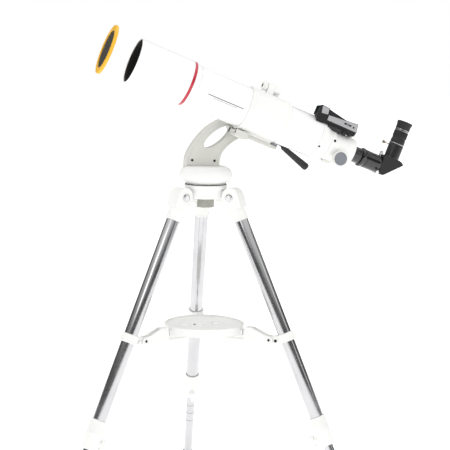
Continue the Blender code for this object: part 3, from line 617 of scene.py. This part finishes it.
def make_tray():
    first = math.radians(LEG_AZIMUTH["back"])

    def outline(less):
        return round_outline(lambda angle: 94 + 2.5 * math.cos(3 * (angle - first)) - less, 180)

    holes = ((-45, -3, 12.5), (33, 3, 12.5), (0, 0, 5.5))
    cuts = [prism(outline(3.2), "Z", -304, -290), prism(outline(3.2), "Z", -330, -306.5)]
    cuts += [cylinder("Z", -330, -290, radius, (x, y, 0), 64) for x, y, radius in holes]
    shape = carved(prism(outline(0), "Z", -318.7, -300), cuts)
    piece("accessory_tray", shape, HEAD, "tray", WHITE, True, 0.9, 3)
    for number, (x, y, radius) in enumerate(holes):
        rim = ring("Z", -304, -302.9, radius + 1.6, radius + 0.1, 64, edge=0.4)
        piece(f"tray_hole_rim_{number}", rim, HEAD @ place(x, y, 0), "tray", WHITE)
    for name, facing in LEG_AZIMUTH.items():
        lug = box((89, -8, -318.4), (101.5, 8, -307.5))
        piece(f"tray_lug_{name}", lug, HEAD @ turn(facing, "Z"), "tray", WHITE, bevel=0.8)
        rib = box((12, -0.9, -312), (91, 0.9, -306.4))
        piece(f"tray_rib_{name}", rib, HEAD @ turn(facing + 60, "Z"), "tray", WHITE, bevel=0.2)
    screw("tray_screw", HEAD @ place(-24, -4, -304), "tray", 2.6, 1.4)


def make_tripod():
    make_hub()
    make_tray()
    for side, azimuth in LEG_AZIMUTH.items():
        leg = HEAD @ turn(azimuth, "Z") @ place(HINGE_RADIUS, 0, 0) @ turn(-LEG_SPLAY, "Y")
        make_leg_head(side, leg)
        make_tubes(side, leg)
        make_clamp(side, leg)
        make_spreader(
            side, leg @ place(SPREADER_PIN[0], 0, SPREADER_PIN[1]) @ turn(LEG_SPLAY, "Y")
        )
        make_collar(side, leg)
        make_lock_knob(side, leg @ place(0, 0, KNOB_Z))
        make_foot(side, leg)


# ---- mount ----

def make_disc():
    curve = smooth([
        (28.9, 44.5), (30.5, 45.2), (33, 50.5), (38, 58.6), (42.5, 61.4), (48, 62), (55, 61),
        (62, 57.4), (67, 51.5), (69.5, 46), (70, 40),
    ], 6)
    profile = [(28.9, 6.6), *curve, (70, 0), (42, 0), (42, 6.6)]
    pocket = box((-51.5, -3.3, 58), (34, 25.3, 80))
    shape = carved(turned(profile, "Z", 160), [pocket])
    piece("azimuth_disc", shape, HEAD, "azimuth_head", WHITE, True, 0.8, 3)
    ridge = [(68.9, 44.2), (70.15, 43.6), (70.15, 42.6), (69.5, 42.4)]
    cut = box((-53, -5, 60), (36, 27, 80))
    piece("disc_ridge", carved(turned(ridge, "Z", 128), [cut]), HEAD, "azimuth_head", "rim_white")


def make_arm():
    front = smooth([
        (-51, 62), (-49.6, 72), (-45.2, 98), (-27.4, 128), (-0.2, 158), (32.7, 178), (60, 184),
    ])
    rear = smooth([
        (93, 141.5), (68.6, 127.8), (52, 115.4), (39.4, 101.3), (33.2, 84), (32.3, 70), (32.5, 62),
    ])
    near, far = -3.0, 25.0
    foot = 58.3
    head = arc((PIVOT_X, PIVOT_Z), 22.5, 92, -52, 30)
    outline = [(-51, foot), *front[1:-1], *head, *rear[:-1], (32.5, foot)]
    tilt = math.radians(37)

    def oval(grow):
        points = []
        for step in range(72):
            angle = math.tau * step / 72
            along = (37 + grow) * math.cos(angle)
            across = (13.6 + grow) * math.copysign(abs(math.sin(angle)) ** 0.85, math.sin(angle))
            points.append((25.7 + along * math.cos(tilt) - across * math.sin(tilt),
                           137 + along * math.sin(tilt) + across * math.cos(tilt)))
        return points

    inner = [point for point in inset(outline, 5.0) if point[1] > 66]
    cuts = []
    for low, high in ((near - 5, near + 1.6), (far - 1.6, far + 5)):
        keep = [prism(oval(4.5), "Y", low - 1, high + 1),
                cylinder("Y", low - 1, high + 1, 14.6, (PIVOT_X, 0, PIVOT_Z))]
        cuts.append(carved(prism(inner, "Y", low, high), keep))
    cuts.append(prism(oval(0), "Y", near - 5, far + 5))
    cuts.append(cylinder("Y", near - 5, far + 5, 7.3, (PIVOT_X, 0, PIVOT_Z), 64))
    arm = carved(prism(outline, "Y", near, far), cuts)
    piece("mount_arm", arm, HEAD, "azimuth_head", WARM_WHITE, True, 1.1, 4)
    for number, (x, z) in enumerate(((-33.6, 83.5), (20, 81.8))):
        at = HEAD @ place(x, near + 1.6, z) @ turn(90, "X")
        screw(f"arm_screw_{number}", at, "azimuth_head", 3.0, 1.5)
        at = HEAD @ place(x, far - 1.6, z) @ turn(-90, "X")
        screw(f"arm_screw_far_{number}", at, "azimuth_head", 3.0, 1.5)
    bush = ring("Y", near - 0.1, near + 0.5, 11.5, 7.4, 64, (PIVOT_X, 0, PIVOT_Z))
    piece("arm_bush", bush, HEAD, "azimuth_head", "rim_white")


def make_azimuth_knob():
    stem = cylinder("Z", -8, 40, 6.2)
    grip = prism(lobed(20.5, 6, 3.5, 144), "Z", -26, -6)
    shape = carved(grip, [cylinder("Z", -30, -24.4, 12)], [stem])
    piece("azimuth_knob", shape, HEAD, "azimuth_knob", "knob_stone", True, 1.6, 4)
    at = HEAD @ place(0, 0, -24.4) @ turn(180, "X")
    screw("azimuth_knob_screw", at, "azimuth_knob", 5, 1.6, "chrome")


def make_altitude_knob():
    inner = 25.3
    cuts = [
        cylinder("Y", inner - 5, inner + 14, 7.3), cylinder("Y", inner + 16.2, inner + 20, 11),
    ]
    shape = carved(prism(lobed(22, 7, 3, 140), "Y", inner, inner + 17), cuts)
    piece("altitude_knob", shape, ALTITUDE, "altitude_knob", WARM_WHITE, True, 1.6, 4)
    face = [(inner + 15.9, 0), (inner + 15.9, 10.4), (inner + 16.7, 10), (inner + 16.9, 0)]
    disc = turned(face, "Y", 64)
    piece("altitude_knob_cap", disc, ALTITUDE, "altitude_knob", "knob_grey")


def make_saddle():
    pivot = (-TUBE_FROM_PIVOT[0], -TUBE_FROM_PIVOT[2])
    outline = [
        (-25, -67), (25, -67), (25, -52.2), (17.6, -52.2), (17.6, -54.3), (21.2, -62.3),
        (-21.2, -62.3), (-17.6, -54.3), (-17.6, -52.2), (-25, -52.2),
    ]
    ear = prism([(-24, -67), (-2, -67), *arc(pivot, 10, 0, 180, 24)], "Y", 46, 54.7)
    shelf = box((-23, 20, -67), (-3, 53.7, -62.5))
    shaft = cylinder("Y", 47, 96.7, 7, (pivot[0], 0, pivot[1]), 64)
    hole = cylinder("Y", 21.8, 30, 3.3, (-33, 0, -57))
    shape = carved(prism(outline, "X", -40, -8), [hole], [shelf, ear, shaft])
    piece("dovetail_saddle", shape, TUBE, "tube", WARM_WHITE, True, 0.7, 3)
    for number, height in enumerate((-52.5, -59.0)):
        at = TUBE @ place(-40.0, -22.2, height) @ turn(-90, "Y")
        screw(f"saddle_screw_{number}", at, "tube", 2.2, 1.6)
    knob = TUBE @ place(-33, 0, -57)
    shape = carved(prism(lobed(8, 5, 1.6, 80), "Y", 25.5, 41), joins=[cylinder("Y", 22.2, 27, 3.0)])
    piece("saddle_knob", shape, knob, "saddle_knob", "black_plastic", True, 0.9, 3)
    bar = prism([(-20.8, -62), (20.8, -62), (17.2, -54.8), (-17.2, -54.8)], "X", -42, 67)
    groove = box((-30, -6, -63), (60, 6, -60.8))
    piece("dovetail_bar", carved(bar, [groove]), TUBE, "tube", WARM_WHITE, True, 0.5)
    for number, along in enumerate((-12, 42)):
        at = TUBE @ place(along, 0, -60.8) @ turn(180, "X")
        screw(f"bar_bolt_{number}", at, "tube", 4.0, 1.0, "chrome")
    # A dark grey block on the bar's rear end, under the tube: painted shadow, standing in for the shade in
    # the notch between the bar and the tube.
    notch_shade_block = box((52, -19.5, -54.7), (66.5, -8, -50.2))
    piece("bar_notch_shade_block", notch_shade_block, TUBE, "tube", "knob_grey", bevel=0.6)


def make_handle():
    route = smooth([
        (-4, 38, -52), (20, 38, -46), (78, 38, -43.7), (92, 38, -45), (105, 38, -49.8),
    ])
    piece("handle_rod", rod(route, [2.6] * len(route)), TUBE, "tube", "rod_steel", True)
    grip = TUBE @ place(97, 38, -46.7) @ turn(17, "Y")
    profile = [
        (0, 3.3), (0, 4.2), (1, 5.2), (3, 5.8), (7, 6.0), (40, 7.4), (73, 8.7), (76, 8.7),
        (78.6, 8.0), (80, 6.3), (80, 0), (14, 0), (14, 3.3),
    ]
    flutes = []
    for step in range(12):
        angle = math.radians(step * 30)
        line = [
            (along, reach * math.cos(angle), reach * math.sin(angle))
            for along, reach in ((9, 6.9), (40, 8.2), (72, 9.5))
        ]
        flutes.append(rod(line, [1.2, 1.3, 1.4], 12))
    shape = carved(turned(profile, "X", 72), flutes)
    piece("handle_grip", shape, grip, "tube", "grip_rubber", True)


# ---- optical tube ----

def make_solar_filter():
    front = -381.0
    profile = [
        (front + 0.6, 45), (front, 45.8), (front, 56), (front + 0.5, 57.1), (front + 1.4, 57.5),
        (front + 5.4, 57.5), (front + 6, 57), (front + 6, 53.2), (front + 2.5, 53.2),
        (front + 2.5, 45),
    ]
    piece("solar_filter_ring", turned(profile, "X", 160), TUBE, "solar_filter", "amber_card", True)
    bead = [(front - 0.3, 50.2), (front - 0.3, 51), (front + 0.2, 51.3), (front + 0.2, 49.9)]
    piece("filter_bead", turned(bead, "X", 128), TUBE, "solar_filter", "amber_card")
    sheet = bmesh.new()
    rings = []
    for share in (1.0, 0.9, 0.78, 0.64, 0.5, 0.36, 0.2):
        loop = []
        for step in range(96):
            angle = math.tau * step / 96
            reach = 44.9 * share
            wave = 0.16 * math.sin(3 * angle + share * 9) + 0.12 * math.sin(7 * angle - share * 14)
            lift = front + 1.1 + wave * min(1, (1 - share) * 8)
            loop.append(sheet.verts.new((lift, reach * math.cos(angle), reach * math.sin(angle))))
        rings.append(loop)
    for outer, within in zip(rings, rings[1:]):
        for step in range(96):
            nxt = (step + 1) % 96
            sheet.faces.new((outer[step], outer[nxt], within[nxt], within[step]))
    sheet.faces.new(rings[-1])
    foil = piece("solar_filter_foil", sheet, TUBE, "solar_filter", "filter_foil", True)
    skin = foil.modifiers.new("skin", "SOLIDIFY")
    skin.thickness = 0.2 * MM
    skin.offset = 0


def make_front():
    shield = [
        (-315, 50.9), (-314.8, 51.9), (-314.2, 52.5), (-185.6, 52.5), (-185.2, 52.2),
        (-185.2, 49.7), (-309, 49.7), (-314.6, 50.4),
    ]
    piece("dew_shield", turned(shield, "X", 192), TUBE, "tube", "white_paint", True)
    baffles = [(-313.8, 50.0)]
    for number in range(20):
        low = -312 + number * 5
        baffles += [(low, 49.5), (low + 1.2, 48.9), (low + 1.8, 49.4)]
    baffles += [(-213, 49.4), (-213, 49.68), (-309, 49.68)]
    piece("shield_lining", turned(baffles, "X", 128), TUBE, "tube", "shield_black")
    band = ring("X", -184.9, -178.6, 52.5, 49.7, 192, edge=0.6)
    piece("red_band", band, TUBE, "tube", "red_band", True)
    seat = ring("X", -178.5, -175.4, 52.2, 49.7, 192, edge=0.8)
    piece("red_band_seat", seat, TUBE, "tube", "white_paint")
    cell = [
        (-212, 41.8), (-212, 48.4), (-211, 49.4), (-175.1, 49.4), (-175.1, 49.6), (-169, 49.6),
        (-167.5, 49.4), (-165.4, 48.6), (-164.2, 47.8), (-164, 47.2), (-164, 45.4), (-140, 45.4),
        (-140, 40.5), (-191, 40.5), (-191, 41.8),
    ]
    piece("lens_cell", turned(cell, "X", 192), TUBE, "tube", "white_paint", True)
    keeper = [
        (-212.1, 40.0), (-212.3, 40.5), (-212.3, 48.2), (-212.0, 48.3), (-208.6, 41.6),
        (-208.6, 40.0),
    ]
    piece("lens_retainer", turned(keeper, "X", 128), TUBE, "tube", "shield_black")
    front = [(-208 + 5 * (r / 41.5) ** 2, r) for r in range(0, 41, 4)]
    back = [(-192.7 + 0.7 * (r / 41.5) ** 2, r) for r in range(40, -1, -8)]
    lens = [*front, (-203, 41.5), (-192, 41.5), *back]
    piece("objective_lens", turned(lens, "X", 128), TUBE, "tube", "lens_glass", True)
    body = ring("X", -163.7, 149.7, TUBE_R, 45.7, 192, edge=0.3)
    piece("main_tube", body, TUBE, "tube", "white_paint", True)
    lining = [(-139, 45.3), (-139, 45.65), (128, 45.65), (128, 45.3)]
    piece("tube_lining", turned(lining, "X", 96), TUBE, "tube", "shield_black")
    for number, (low, high, wide) in enumerate(((-138, -49, 0.9), (-124, -63, 0.45))):
        middle = 98.5 - 270.0 + number * 5
        reach = math.degrees(wide / TUBE_R)
        inner, outer = TUBE_R - 0.1, TUBE_R + 0.06
        loop = [(low, inner), (low, outer), (high, outer), (high, inner)]
        line = turned(loop, "X", 4, sweep=2 * reach, start=middle + 360 - reach)
        piece(f"tube_line_{number}", line, TUBE, "tube", "mark")


def make_ring_halves():
    top = 53.0
    run = [
        (0.0, 50.6), (0.2, 52.0), (1.0, 52.8), (2.2, top), (3.6, top), (4.8, 52.7), (5.4, 52.0),
        (6.0, 51.8), (7.6, 51.8), (8.2, 52.0), (8.8, 52.7), (9.8, top), (11.2, top), (12.2, 52.7),
        (12.9, 52.2), (14, 52.1),
    ]
    loop = [
        (-37.0, 47.5), *[(-37 + a, r) for a, r in run], *[(62 - a, r) for a, r in reversed(run)],
        (62.0, 47.5),
    ]
    for name, side in (("tube_ring_near", -1), ("tube_ring_far", 1)):
        start = 90.4 if side < 0 else -89.6
        half = turned(loop, "X", 80, sweep=179.2, start=start)
        low, high = (-2.2, 13) if side < 0 else (13.3, 30)
        knuckle = [
            (side * 0.4, 49), (side * 13, 49), (side * 12, 55), (side * 10.5, 64),
            *[(side * y, z) for y, z in arc((0, 64), 10.5, 8, 200, 28)],
            (side * -5, 57), (side * 0.4, 54.8),
        ]
        sole = [(side * 0.4, -50), (side * 0.4, -54.5), (side * 15, -54.5), (side * 15, -49)]
        bores = [
            cylinder("X", low - 3, high + 3, 3.4, (0, 0, 64)),
            cylinder("X", -40, 65, 47.5, steps=128),
        ]
        joins = [prism(knuckle, "X", low, high), prism(sole, "X", -20, 50)]
        shape = carved(half, bores, joins)
        piece(name, shape, TUBE, "tube", WHITE, True, 0.5)
    at = TUBE @ place(0, 0, 64)
    flange = turned([(-4.5, 0), (-4.5, 8), (-2.5, 7.4), (-2.5, 0)], "X", 48)
    head = carved(
        prism(knurl(10, 24, 1.0), "X", -14.5, -4), joins=[flange, cylinder("X", -4, 29, 3.0)]
    )
    piece("ring_knob", head, at, "ring_knob", WHITE, True, 0.4)
    dot = turned([(-15.0, 0), (-15.0, 3.6), (-14.6, 4.2), (-14.3, 4.2), (-14.3, 0)], "X", 32)
    piece("ring_knob_dot", dot, at, "ring_knob", "black_screw")


def make_rear():
    loop = [
        (130, 43.8), (130, 45.4), (150, 45.4), (150, 46.2), (150.3, TUBE_R), (156, TUBE_R),
        (159.5, 46.7), (163, 45.6), (166, 44.4), (169, 42.6), (171, 41), (172.5, 40.2), (174, 40),
        (178, 40), (178, 21.5), (174.5, 21.5), (174.5, 36), (168, 38.5), (160, 42), (150, 43.8),
    ]
    piece("rear_cell", turned(loop, "X", 160), TUBE, "tube", WHITE, True)
    profile = [
        (178.3, 0), (178.3, 38.6), (178.9, 39.6), (180, 40), (184, 39.7), (187, 38.9), (190, 37.6),
        (194, 35.9), (198, 34.6), (204, 33.6), (210, 33.4), (243, 33), (244.6, 32.6), (246, 31.8),
        (247, 30.2), (247, 25), (245.6, 24.6), (245.6, 0),
    ]
    shaft = (FOCUS_X, 0, FOCUS_Z)
    housing = [(-35.6, 0), (-35.6, 8.8), (-34.8, 9.5), (34.8, 9.5), (35.6, 8.8), (35.6, 0)]
    boss = turned(housing, "Y", 64, shaft)
    room = [
        (-40, 0), (-40, 3.4), (-10, 3.4), (-10, 6.7), (10, 6.7), (10, 3.4), (40, 3.4), (40, 0),
    ]
    bores = [cylinder("X", 170, 260, 19.3, steps=96), turned(room, "Y", 48, shaft)]
    body = carved(turned(profile, "X", 128), bores, [boss])
    piece("focuser_body", body, TUBE, "tube", WHITE, True, 0.6, 3)
    screw("cell_screw_near", on_tube(153, 112.4, TUBE_R - 0.2), "tube", 2.4, 1.3)
    screw("cell_screw_far", on_tube(153, -112.4, TUBE_R - 0.2), "tube", 2.4, 1.3)
    screw("focuser_screw_near", on_tube(186, 78, 38.9), "tube", 3.2, 1.8)
    screw("focuser_screw_far", on_tube(186, -78, 38.9), "tube", 3.2, 1.8)
    screw("focuser_screw_under", on_tube(186, 180, 38.9), "tube", 3.2, 1.8)
    at = TUBE @ place(*shaft)
    spindle = [(-46, 0), (-46, 3), (-9, 3), (-9, 6), (9, 6), (9, 3), (46, 3), (46, 0)]
    piece("focus_shaft", turned(spindle, "Y", 48), at, "focus_wheel", "chrome", True)
    rim = [
        (36, 3.3), (36, 15.4), (36.4, 16.6), (37.2, 17.4), (38.2, 17.7), (46.4, 17.7),
        (47.9, 17.4), (48.5, 16.9), (48.5, 15.9), (47.9, 15.5), (47.2, 15.4), (47.2, 0),
        (46.4, 0), (46.4, 3.3),
    ]
    face = [
        (47.3, 0), (47.3, 15.2), (47.9, 15.0), (48.2, 14.4), (48.2, 12.2), (47.9, 11.8),
        (47.9, 3.6), (48.3, 3.2), (48.3, 0),
    ]
    for name, facing in (("near", 180), ("far", 0)):
        side = at @ turn(facing, "Z")
        teeth = [
            moved(box((17.25, 38.6, -0.42), (18.2, 46.2, 0.42)), turn(step * 7.5, "Y"))
            for step in range(48)
        ]
        knob = carved(turned(rim, "Y", 96), teeth)
        piece(f"focus_knob_{name}", knob, side, "focus_wheel", "rim_white", True)
        piece(f"focus_face_{name}", turned(face, "Y", 96), side, "focus_wheel", "knob_grey")
    lock = turned(
        [(19.0, 0), (19.0, 4.2), (22, 4.2), (22.4, 3.6), (25.6, 3.6), (26, 4.4), (26.4, 4.4),
         (26.8, 3.8), (26.8, 0)], "Z", 32
    )
    piece("tension_screw", lock, TUBE @ place(232, 0, 14.0), "tube", "chrome", bevel=0.2)


def make_drawtube():
    tube = ring("X", 110, 272, 19, 17.5, 128, edge=0.2)
    piece("drawtube", tube, TUBE, "drawtube", "gloss_black", True)
    loop = [
        (264, BARREL_BORE), (264, 17.2), (272.3, 17.2), (272.3, 21.2), (272.9, 22.3), (274, 22.7),
        (277.5, 22.7), (278.8, 22.3), (279.6, 21.5), (281, 21.1), (283, 21), (315, 21),
        (321.5, 21), (322.8, 20.6), (323.4, 19.8), (323.4, BARREL_BORE),
    ]
    screws = (("holder_screw", True, 10), ("holder_screw_low", None, 128))
    holes = []
    for _, _, angle in screws:
        hole = moved(cylinder("Z", 14, 24, 2.1, steps=24), shift(HOLDER_SCREW_X, 0, 0))
        holes.append(moved(hole, turn(angle, "X")))
    holder = carved(turned(loop, "X", 128), holes)
    piece("diagonal_holder", holder, TUBE, "drawtube", "gloss_black", True)
    for number, along in enumerate((284.5, 287.0)):
        loop = [(along, 20.9), (along + 0.2, 21.25), (along + 0.9, 21.25), (along + 1.1, 20.9)]
        piece(f"holder_line_{number}", turned(loop, "X", 96), TUBE, "drawtube", "black_plastic")
    for name, node, angle in screws:
        at = TUBE @ place(HOLDER_SCREW_X, 0, 0) @ turn(angle, "X")
        stem = turned(
            [(16.6, 0), (16.6, 1.7), (23.6, 1.7), (23.6, 2.6), (25.6, 2.6), (25.6, 0)], "Z", 28
        )
        head = prism(knurl(4.2, 18, 0.5), "Z", 25.5, 33.2)
        body = "holder_screw" if node else "drawtube"
        piece(name, carved(head, joins=[stem]), at, body, "chrome", node, 0.25)


def make_diagonal():
    outline = [(324, 26), (363, 26), (370, 24.5), (377, 19.5), (337, -20.5), (324, -20.5)]
    nose = ring("X", 290, 325, BARREL_R, 14.0, 72, edge=0.3)
    socket = ring("Z", 25, 62, 17.6, 14.5, 72, (EYEPIECE_X, 0, 0), 0.3)
    mirror_room = moved(
        box((-21.5, -15.8, -4.1), (21.5, 15.8, 0.3)), shift(EYEPIECE_X, 0, 0) @ turn(-45, "Y")
    )
    light_in = turned([(315, 0), (315, 14), (337, 14), (350.5, 5), (350.5, 0)], "X", 64)
    light_up = turned(
        [(5, 0), (5, 6), (14, 14), (20, 14), (20, BARREL_BORE), (70, BARREL_BORE), (70, 0)],
        "Z", 72, (EYEPIECE_X, 0, 0)
    )
    hole = cylinder("X", EYEPIECE_X - 26, EYEPIECE_X - 10, 1.5, (0, 0, 55), 20)
    cuts = [light_in, light_up, mirror_room, hole]
    shape = carved(prism(outline, "Y", -19, 19), cuts, [nose, socket])
    piece("diagonal_body", shape, TUBE, "diagonal", "black_plastic", True, 0.8, 3)
    slope = TUBE @ place(357, 0, -0.5) @ turn(135, "Y")
    cover = prism(rounded_box(50, 34, 3), "Z", 0.05, 1.0)
    piece("diagonal_cover", cover, slope, "diagonal", "gloss_black", bevel=0.4)
    for number, (x, y) in enumerate(((-21, -13), (-21, 13), (21, -13), (21, 13))):
        screw(f"cover_screw_{number}", slope @ place(x, y, 1.0), "diagonal", 1.7, 0.8)
    mirror = box((-20, -15.5, -3.6), (20, 15.5, 0))
    piece("diagonal_mirror", mirror, DIAGONAL @ turn(-45, "Y"), "diagonal", "mirror", True, 0.4)
    lip = ring("Z", 25.6, 28.4, 18.4, 17.5, 72, edge=0.4)
    piece("socket_lip", lip, DIAGONAL, "diagonal", "gloss_black")
    at = TUBE @ place(EYEPIECE_X - 16.4, 0, 55)
    stem = turned([(0, 0), (0, 1.1), (-14, 1.1), (-14, 0)], "X", 20)
    head = carved(prism(knurl(3.6, 16, 0.4), "X", -19.0, -13.4), joins=[stem])
    piece("eyepiece_screw", head, at, "eyepiece_screw", "bronze", True, 0.2)


def make_eyepiece():
    profile = [
        (22, 13.6), (22, 15.4), (22.6, BARREL_R), (62.3, BARREL_R), (62.3, 16.6), (62.9, 17),
        (72, 17), (72.8, 16.5), (73.5, 16.1), (77, 16.1), (77.8, 16.5), (78.5, 17), (92.4, 17), (93, 16.6),
        (98.4, 16.6), (99, 17), (106, 17), (109, 17.3), (112.4, 18.1), (114.6, 18.5),
        (116.2, 18.3), (117, 17.6), (117, 14.6), (115, 12.4), (112, 9.9), (109, 9.2), (109, 0),
        (68, 0), (66, 13.6),
    ]
    ribs = [
        moved(box((16.7, -0.45, 79.5), (18, 0.45, 91.6)), turn(step * 9, "Z"))
        for step in range(40)
    ]
    shape = carved(turned(profile, "Z", 96), ribs)
    piece("eyepiece", shape, DIAGONAL, "eyepiece", "ribbed_black", True)
    for number, low in enumerate((93.4, 96.6)):
        line = ring("Z", low, low + 1.1, 16.78, 16.4, 96, edge=0.12)
        piece(f"eyepiece_line_{number}", line, DIAGONAL, "eyepiece", "chrome")
    glass_top = [(109.2, 0), (109.2, 8.8), (109.6, 8.8), (110.3, 6), (110.7, 3), (110.8, 0)]
    piece("eye_lens", turned(glass_top, "Z", 64), DIAGONAL, "eyepiece", "lens_glass")
    collar = ring("Z", 60.6, 62.1, 18.0, 17.4, 72, edge=0.3)
    piece("socket_ring", collar, DIAGONAL, "diagonal", "chrome")


def make_finder():
    under = cylinder("X", 150, 156.4, 47.5, steps=96)
    cone = turned(
        [(156.4, 0), (156.4, 47.5), (163, 45.9), (169, 42.9), (173, 40.3), (187, 39.2),
         (197, 35.1), (206, 33.9), (206, 0)], "X", 96
    )
    shoe = prism([(-11, 43), (11, 43), (13, 51.2), (-13, 51.2)], "X", 158, 204)
    foot = box((164, -9, 34), (194, 9, 44))
    shape = carved(shoe, [under, cone], [foot])
    piece("finder_bracket", shape, SHOE, "tube", "black_plastic", True, 0.5)
    nut = turned([(-17.5, 0), (-17.5, 4.6), (-16.9, 5), (-13.2, 5), (-13.2, 0)], "Y", 32)
    piece("finder_clamp_nut", nut, SHOE @ place(199, 0, 47), "tube", "black_screw", bevel=0.3)
    side = [
        (124, 40), (125, 34), (127, 32), (141, 31), (146, 34), (160, 34), (162, 31), (164, 29),
        (204, 29), (208, 34), (214, 34), (217, 31.5), (220, 30.5), (227, 31.5), (230, 42),
        (227.5, 62), (197, 60.5), (150, 69), (148, 70.5), (128, 71.5), (126, 70),
    ]
    window = prism([(y, z + 59) for y, z in rounded_box(22, 18, 2)], "X", 110, 142)
    channel = box((137, -9.5, 52), (203, 9.5, 110))
    sides = [
        prism([(149.5, 55.5), (149.5, 110), (240, 110), (240, 63.5), (197, 59)], "Y", y, y + 10)
        for y in (-21, 11)
    ]
    hull = turned(
        [(100, 0), (100, 49.2), (156, 49.2), (163, 47.6), (169, 44.6), (172.5, 42), (184, 41.6),
         (190, 39.5), (197, 36.8), (206, 35.4), (245, 35.4), (245, 0)], "X", 128
    )
    level = FINDER.inverted()
    moved(hull, in_mm(level @ TUBE))
    room = moved(box((157.7, -13.4, 30), (204.3, 13.4, 51.5)), in_mm(level @ SHOE))
    shape = carved(prism(side, "Y", -15, 15), [hull, room, window, channel, *sides])
    piece("finder_body", shape, FINDER, "tube", "black_plastic", True, 0.6, 3)
    pane = prism([(y, z + 59) for y, z in rounded_box(20.6, 16, 0.5, 2)], "X", 130, 132)
    piece("finder_window", pane, FINDER, "tube", "lens_glass", True, 0.2)
    bulb = [(202.4, 0), (202.4, 2.4), (203.4, 2.8), (204.4, 2.8), (204.4, 0)]
    lamp = turned(bulb, "X", 24, (0, 0, 56.5))
    piece("finder_lamp", lamp, FINDER @ place(-3, 0, 0), "tube", "red_band")
    rail = [(151.5, 42.8), (228.6, 42.0), (226.4, 60.9), (197, 58.4), (151.5, 54.6)]
    cheek = [(132.4, 53), (148.6, 55.2), (147.4, 69.2), (129.6, 70.2)]
    slot = [(x + 203, z + 51.5) for x, z in rounded_box(19, 4.6, 2.2)]
    grip = [(x + 203, z + 51.5) for x, z in rounded_box(8, 3.4, 1.5)]
    for name, way in (("near", -1), ("far", 1)):
        low, high = sorted((way * 14.95, way * 15.8))
        dot = cylinder("Y", low - 1, high + 1, 2.3, (219, 0, 50.6))
        shape = carved(prism(rail, "Y", low, high), [prism(slot, "Y", low - 1, high + 1), dot])
        piece(f"finder_rail_{name}", shape, FINDER, "tube", "silver_plastic", bevel=0.3)
        shape = prism(cheek, "Y", low, high)
        piece(f"finder_cheek_{name}", shape, FINDER, "tube", "silver_plastic", bevel=0.3)
        shape = prism(grip, "Y", low, high)
        piece(f"finder_switch_{name}", shape, FINDER, "tube", "knob_grey", bevel=0.3)


def make_mount():
    make_disc()
    make_arm()
    make_azimuth_knob()
    make_altitude_knob()
    make_saddle()
    make_handle()


def make_optics():
    make_solar_filter()
    make_front()
    make_ring_halves()
    make_rear()
    make_drawtube()
    make_diagonal()
    make_eyepiece()
    make_finder()


# ---- the studio ----

def area_light(name, at, aim, size, power):
    lamp = bpy.data.lights.new(name, "AREA")
    lamp.shape = "RECTANGLE"
    lamp.size = size[0]
    lamp.size_y = size[1]
    lamp.energy = power
    made = bpy.data.objects.new(name, lamp)
    bpy.context.scene.collection.objects.link(made)
    made.location = at
    made.rotation_euler = (Vector(aim) - Vector(at)).to_track_quat("-Z", "Y").to_euler()


def make_world():
    """A plain white room: full white behind the object, and dimmer towards the horizon in
    reflections, as dark drapes beside a studio table make it."""
    world = bpy.data.worlds.new("studio")
    bpy.context.scene.world = world
    world.use_nodes = True
    nodes = world.node_tree.nodes
    links = world.node_tree.links
    plain = nodes["Background"]
    plain.inputs["Color"].default_value = (1.0, 1.0, 1.0, 1)
    plain.inputs["Strength"].default_value = 1.0
    draped = nodes.new("ShaderNodeBackground")
    draped.inputs["Strength"].default_value = 1.0
    where = nodes.new("ShaderNodeTexCoord")
    parts = nodes.new("ShaderNodeSeparateXYZ")
    ramp = nodes.new("ShaderNodeValToRGB")
    ramp.color_ramp.elements[0].position = 0.30
    ramp.color_ramp.elements[0].color = (0.10, 0.10, 0.10, 1)
    ramp.color_ramp.elements[1].position = 0.75
    ramp.color_ramp.elements[1].color = (1.0, 1.0, 1.0, 1)
    links.new(where.outputs["Generated"], parts.inputs["Vector"])
    links.new(parts.outputs["Z"], ramp.inputs["Fac"])
    links.new(ramp.outputs["Color"], draped.inputs["Color"])
    path = nodes.new("ShaderNodeLightPath")
    mix = nodes.new("ShaderNodeMixShader")
    links.new(path.outputs["Is Glossy Ray"], mix.inputs["Fac"])
    links.new(plain.outputs["Background"], mix.inputs[1])
    links.new(draped.outputs["Background"], mix.inputs[2])
    links.new(mix.outputs["Shader"], nodes["World Output"].inputs["Surface"])


def make_studio():
    make_world()
    bpy.context.scene.view_settings.view_transform = "Standard"
    floor_look = surface("studio_floor", (0.97, 0.97, 0.97), 0.7, grain=60, bump=0.002, tint=0.01)
    shader = floor_look.node_tree.nodes["Principled BSDF"]
    shader.inputs["Emission Color"].default_value = (1.0, 1.0, 1.0, 1)
    shader.inputs["Emission Strength"].default_value = 0.35
    mesh = bpy.data.meshes.new("floor")
    mesh.from_pydata([(-40, -40, 0), (40, -40, 0), (40, 40, 0), (-40, 40, 0)], [], [(0, 1, 2, 3)])
    mesh.materials.append(floor_look)
    floor = bpy.data.objects.new("floor", mesh)
    bpy.context.scene.collection.objects.link(floor)
    middle = (0, 0, 0.9)
    area_light("key_light", (-2.4, -2.4, 2.9), middle, (1.6, 1.6), 14)
    area_light("fill_light", (2.9, -2.0, 1.8), middle, (0.9, 2.2), 5)
    area_light("top_light", (0.2, 0.2, 3.4), middle, (2.4, 1.4), 10)
    area_light("back_light", (0.8, 3.0, 2.2), middle, (2.4, 1.6), 6)


def make_camera():
    data = bpy.data.cameras.new("camera")
    data.lens = 103.31
    data.sensor_width = 36
    camera = bpy.data.objects.new("camera", data)
    bpy.context.scene.collection.objects.link(camera)
    camera.matrix_world = (
        place(AXIS_X, AXIS_Y, 0) @ turn(-16, "Z") @ place(46.34, -3000, HINGE_HEIGHT + 303.9)
        @ turn(90 - 7.07, "X") @ Matrix.Rotation(0.0149, 4, "Z")
    )
    bpy.context.scene.camera = camera


make_tripod()
make_mount()
make_optics()
make_studio()
make_camera()
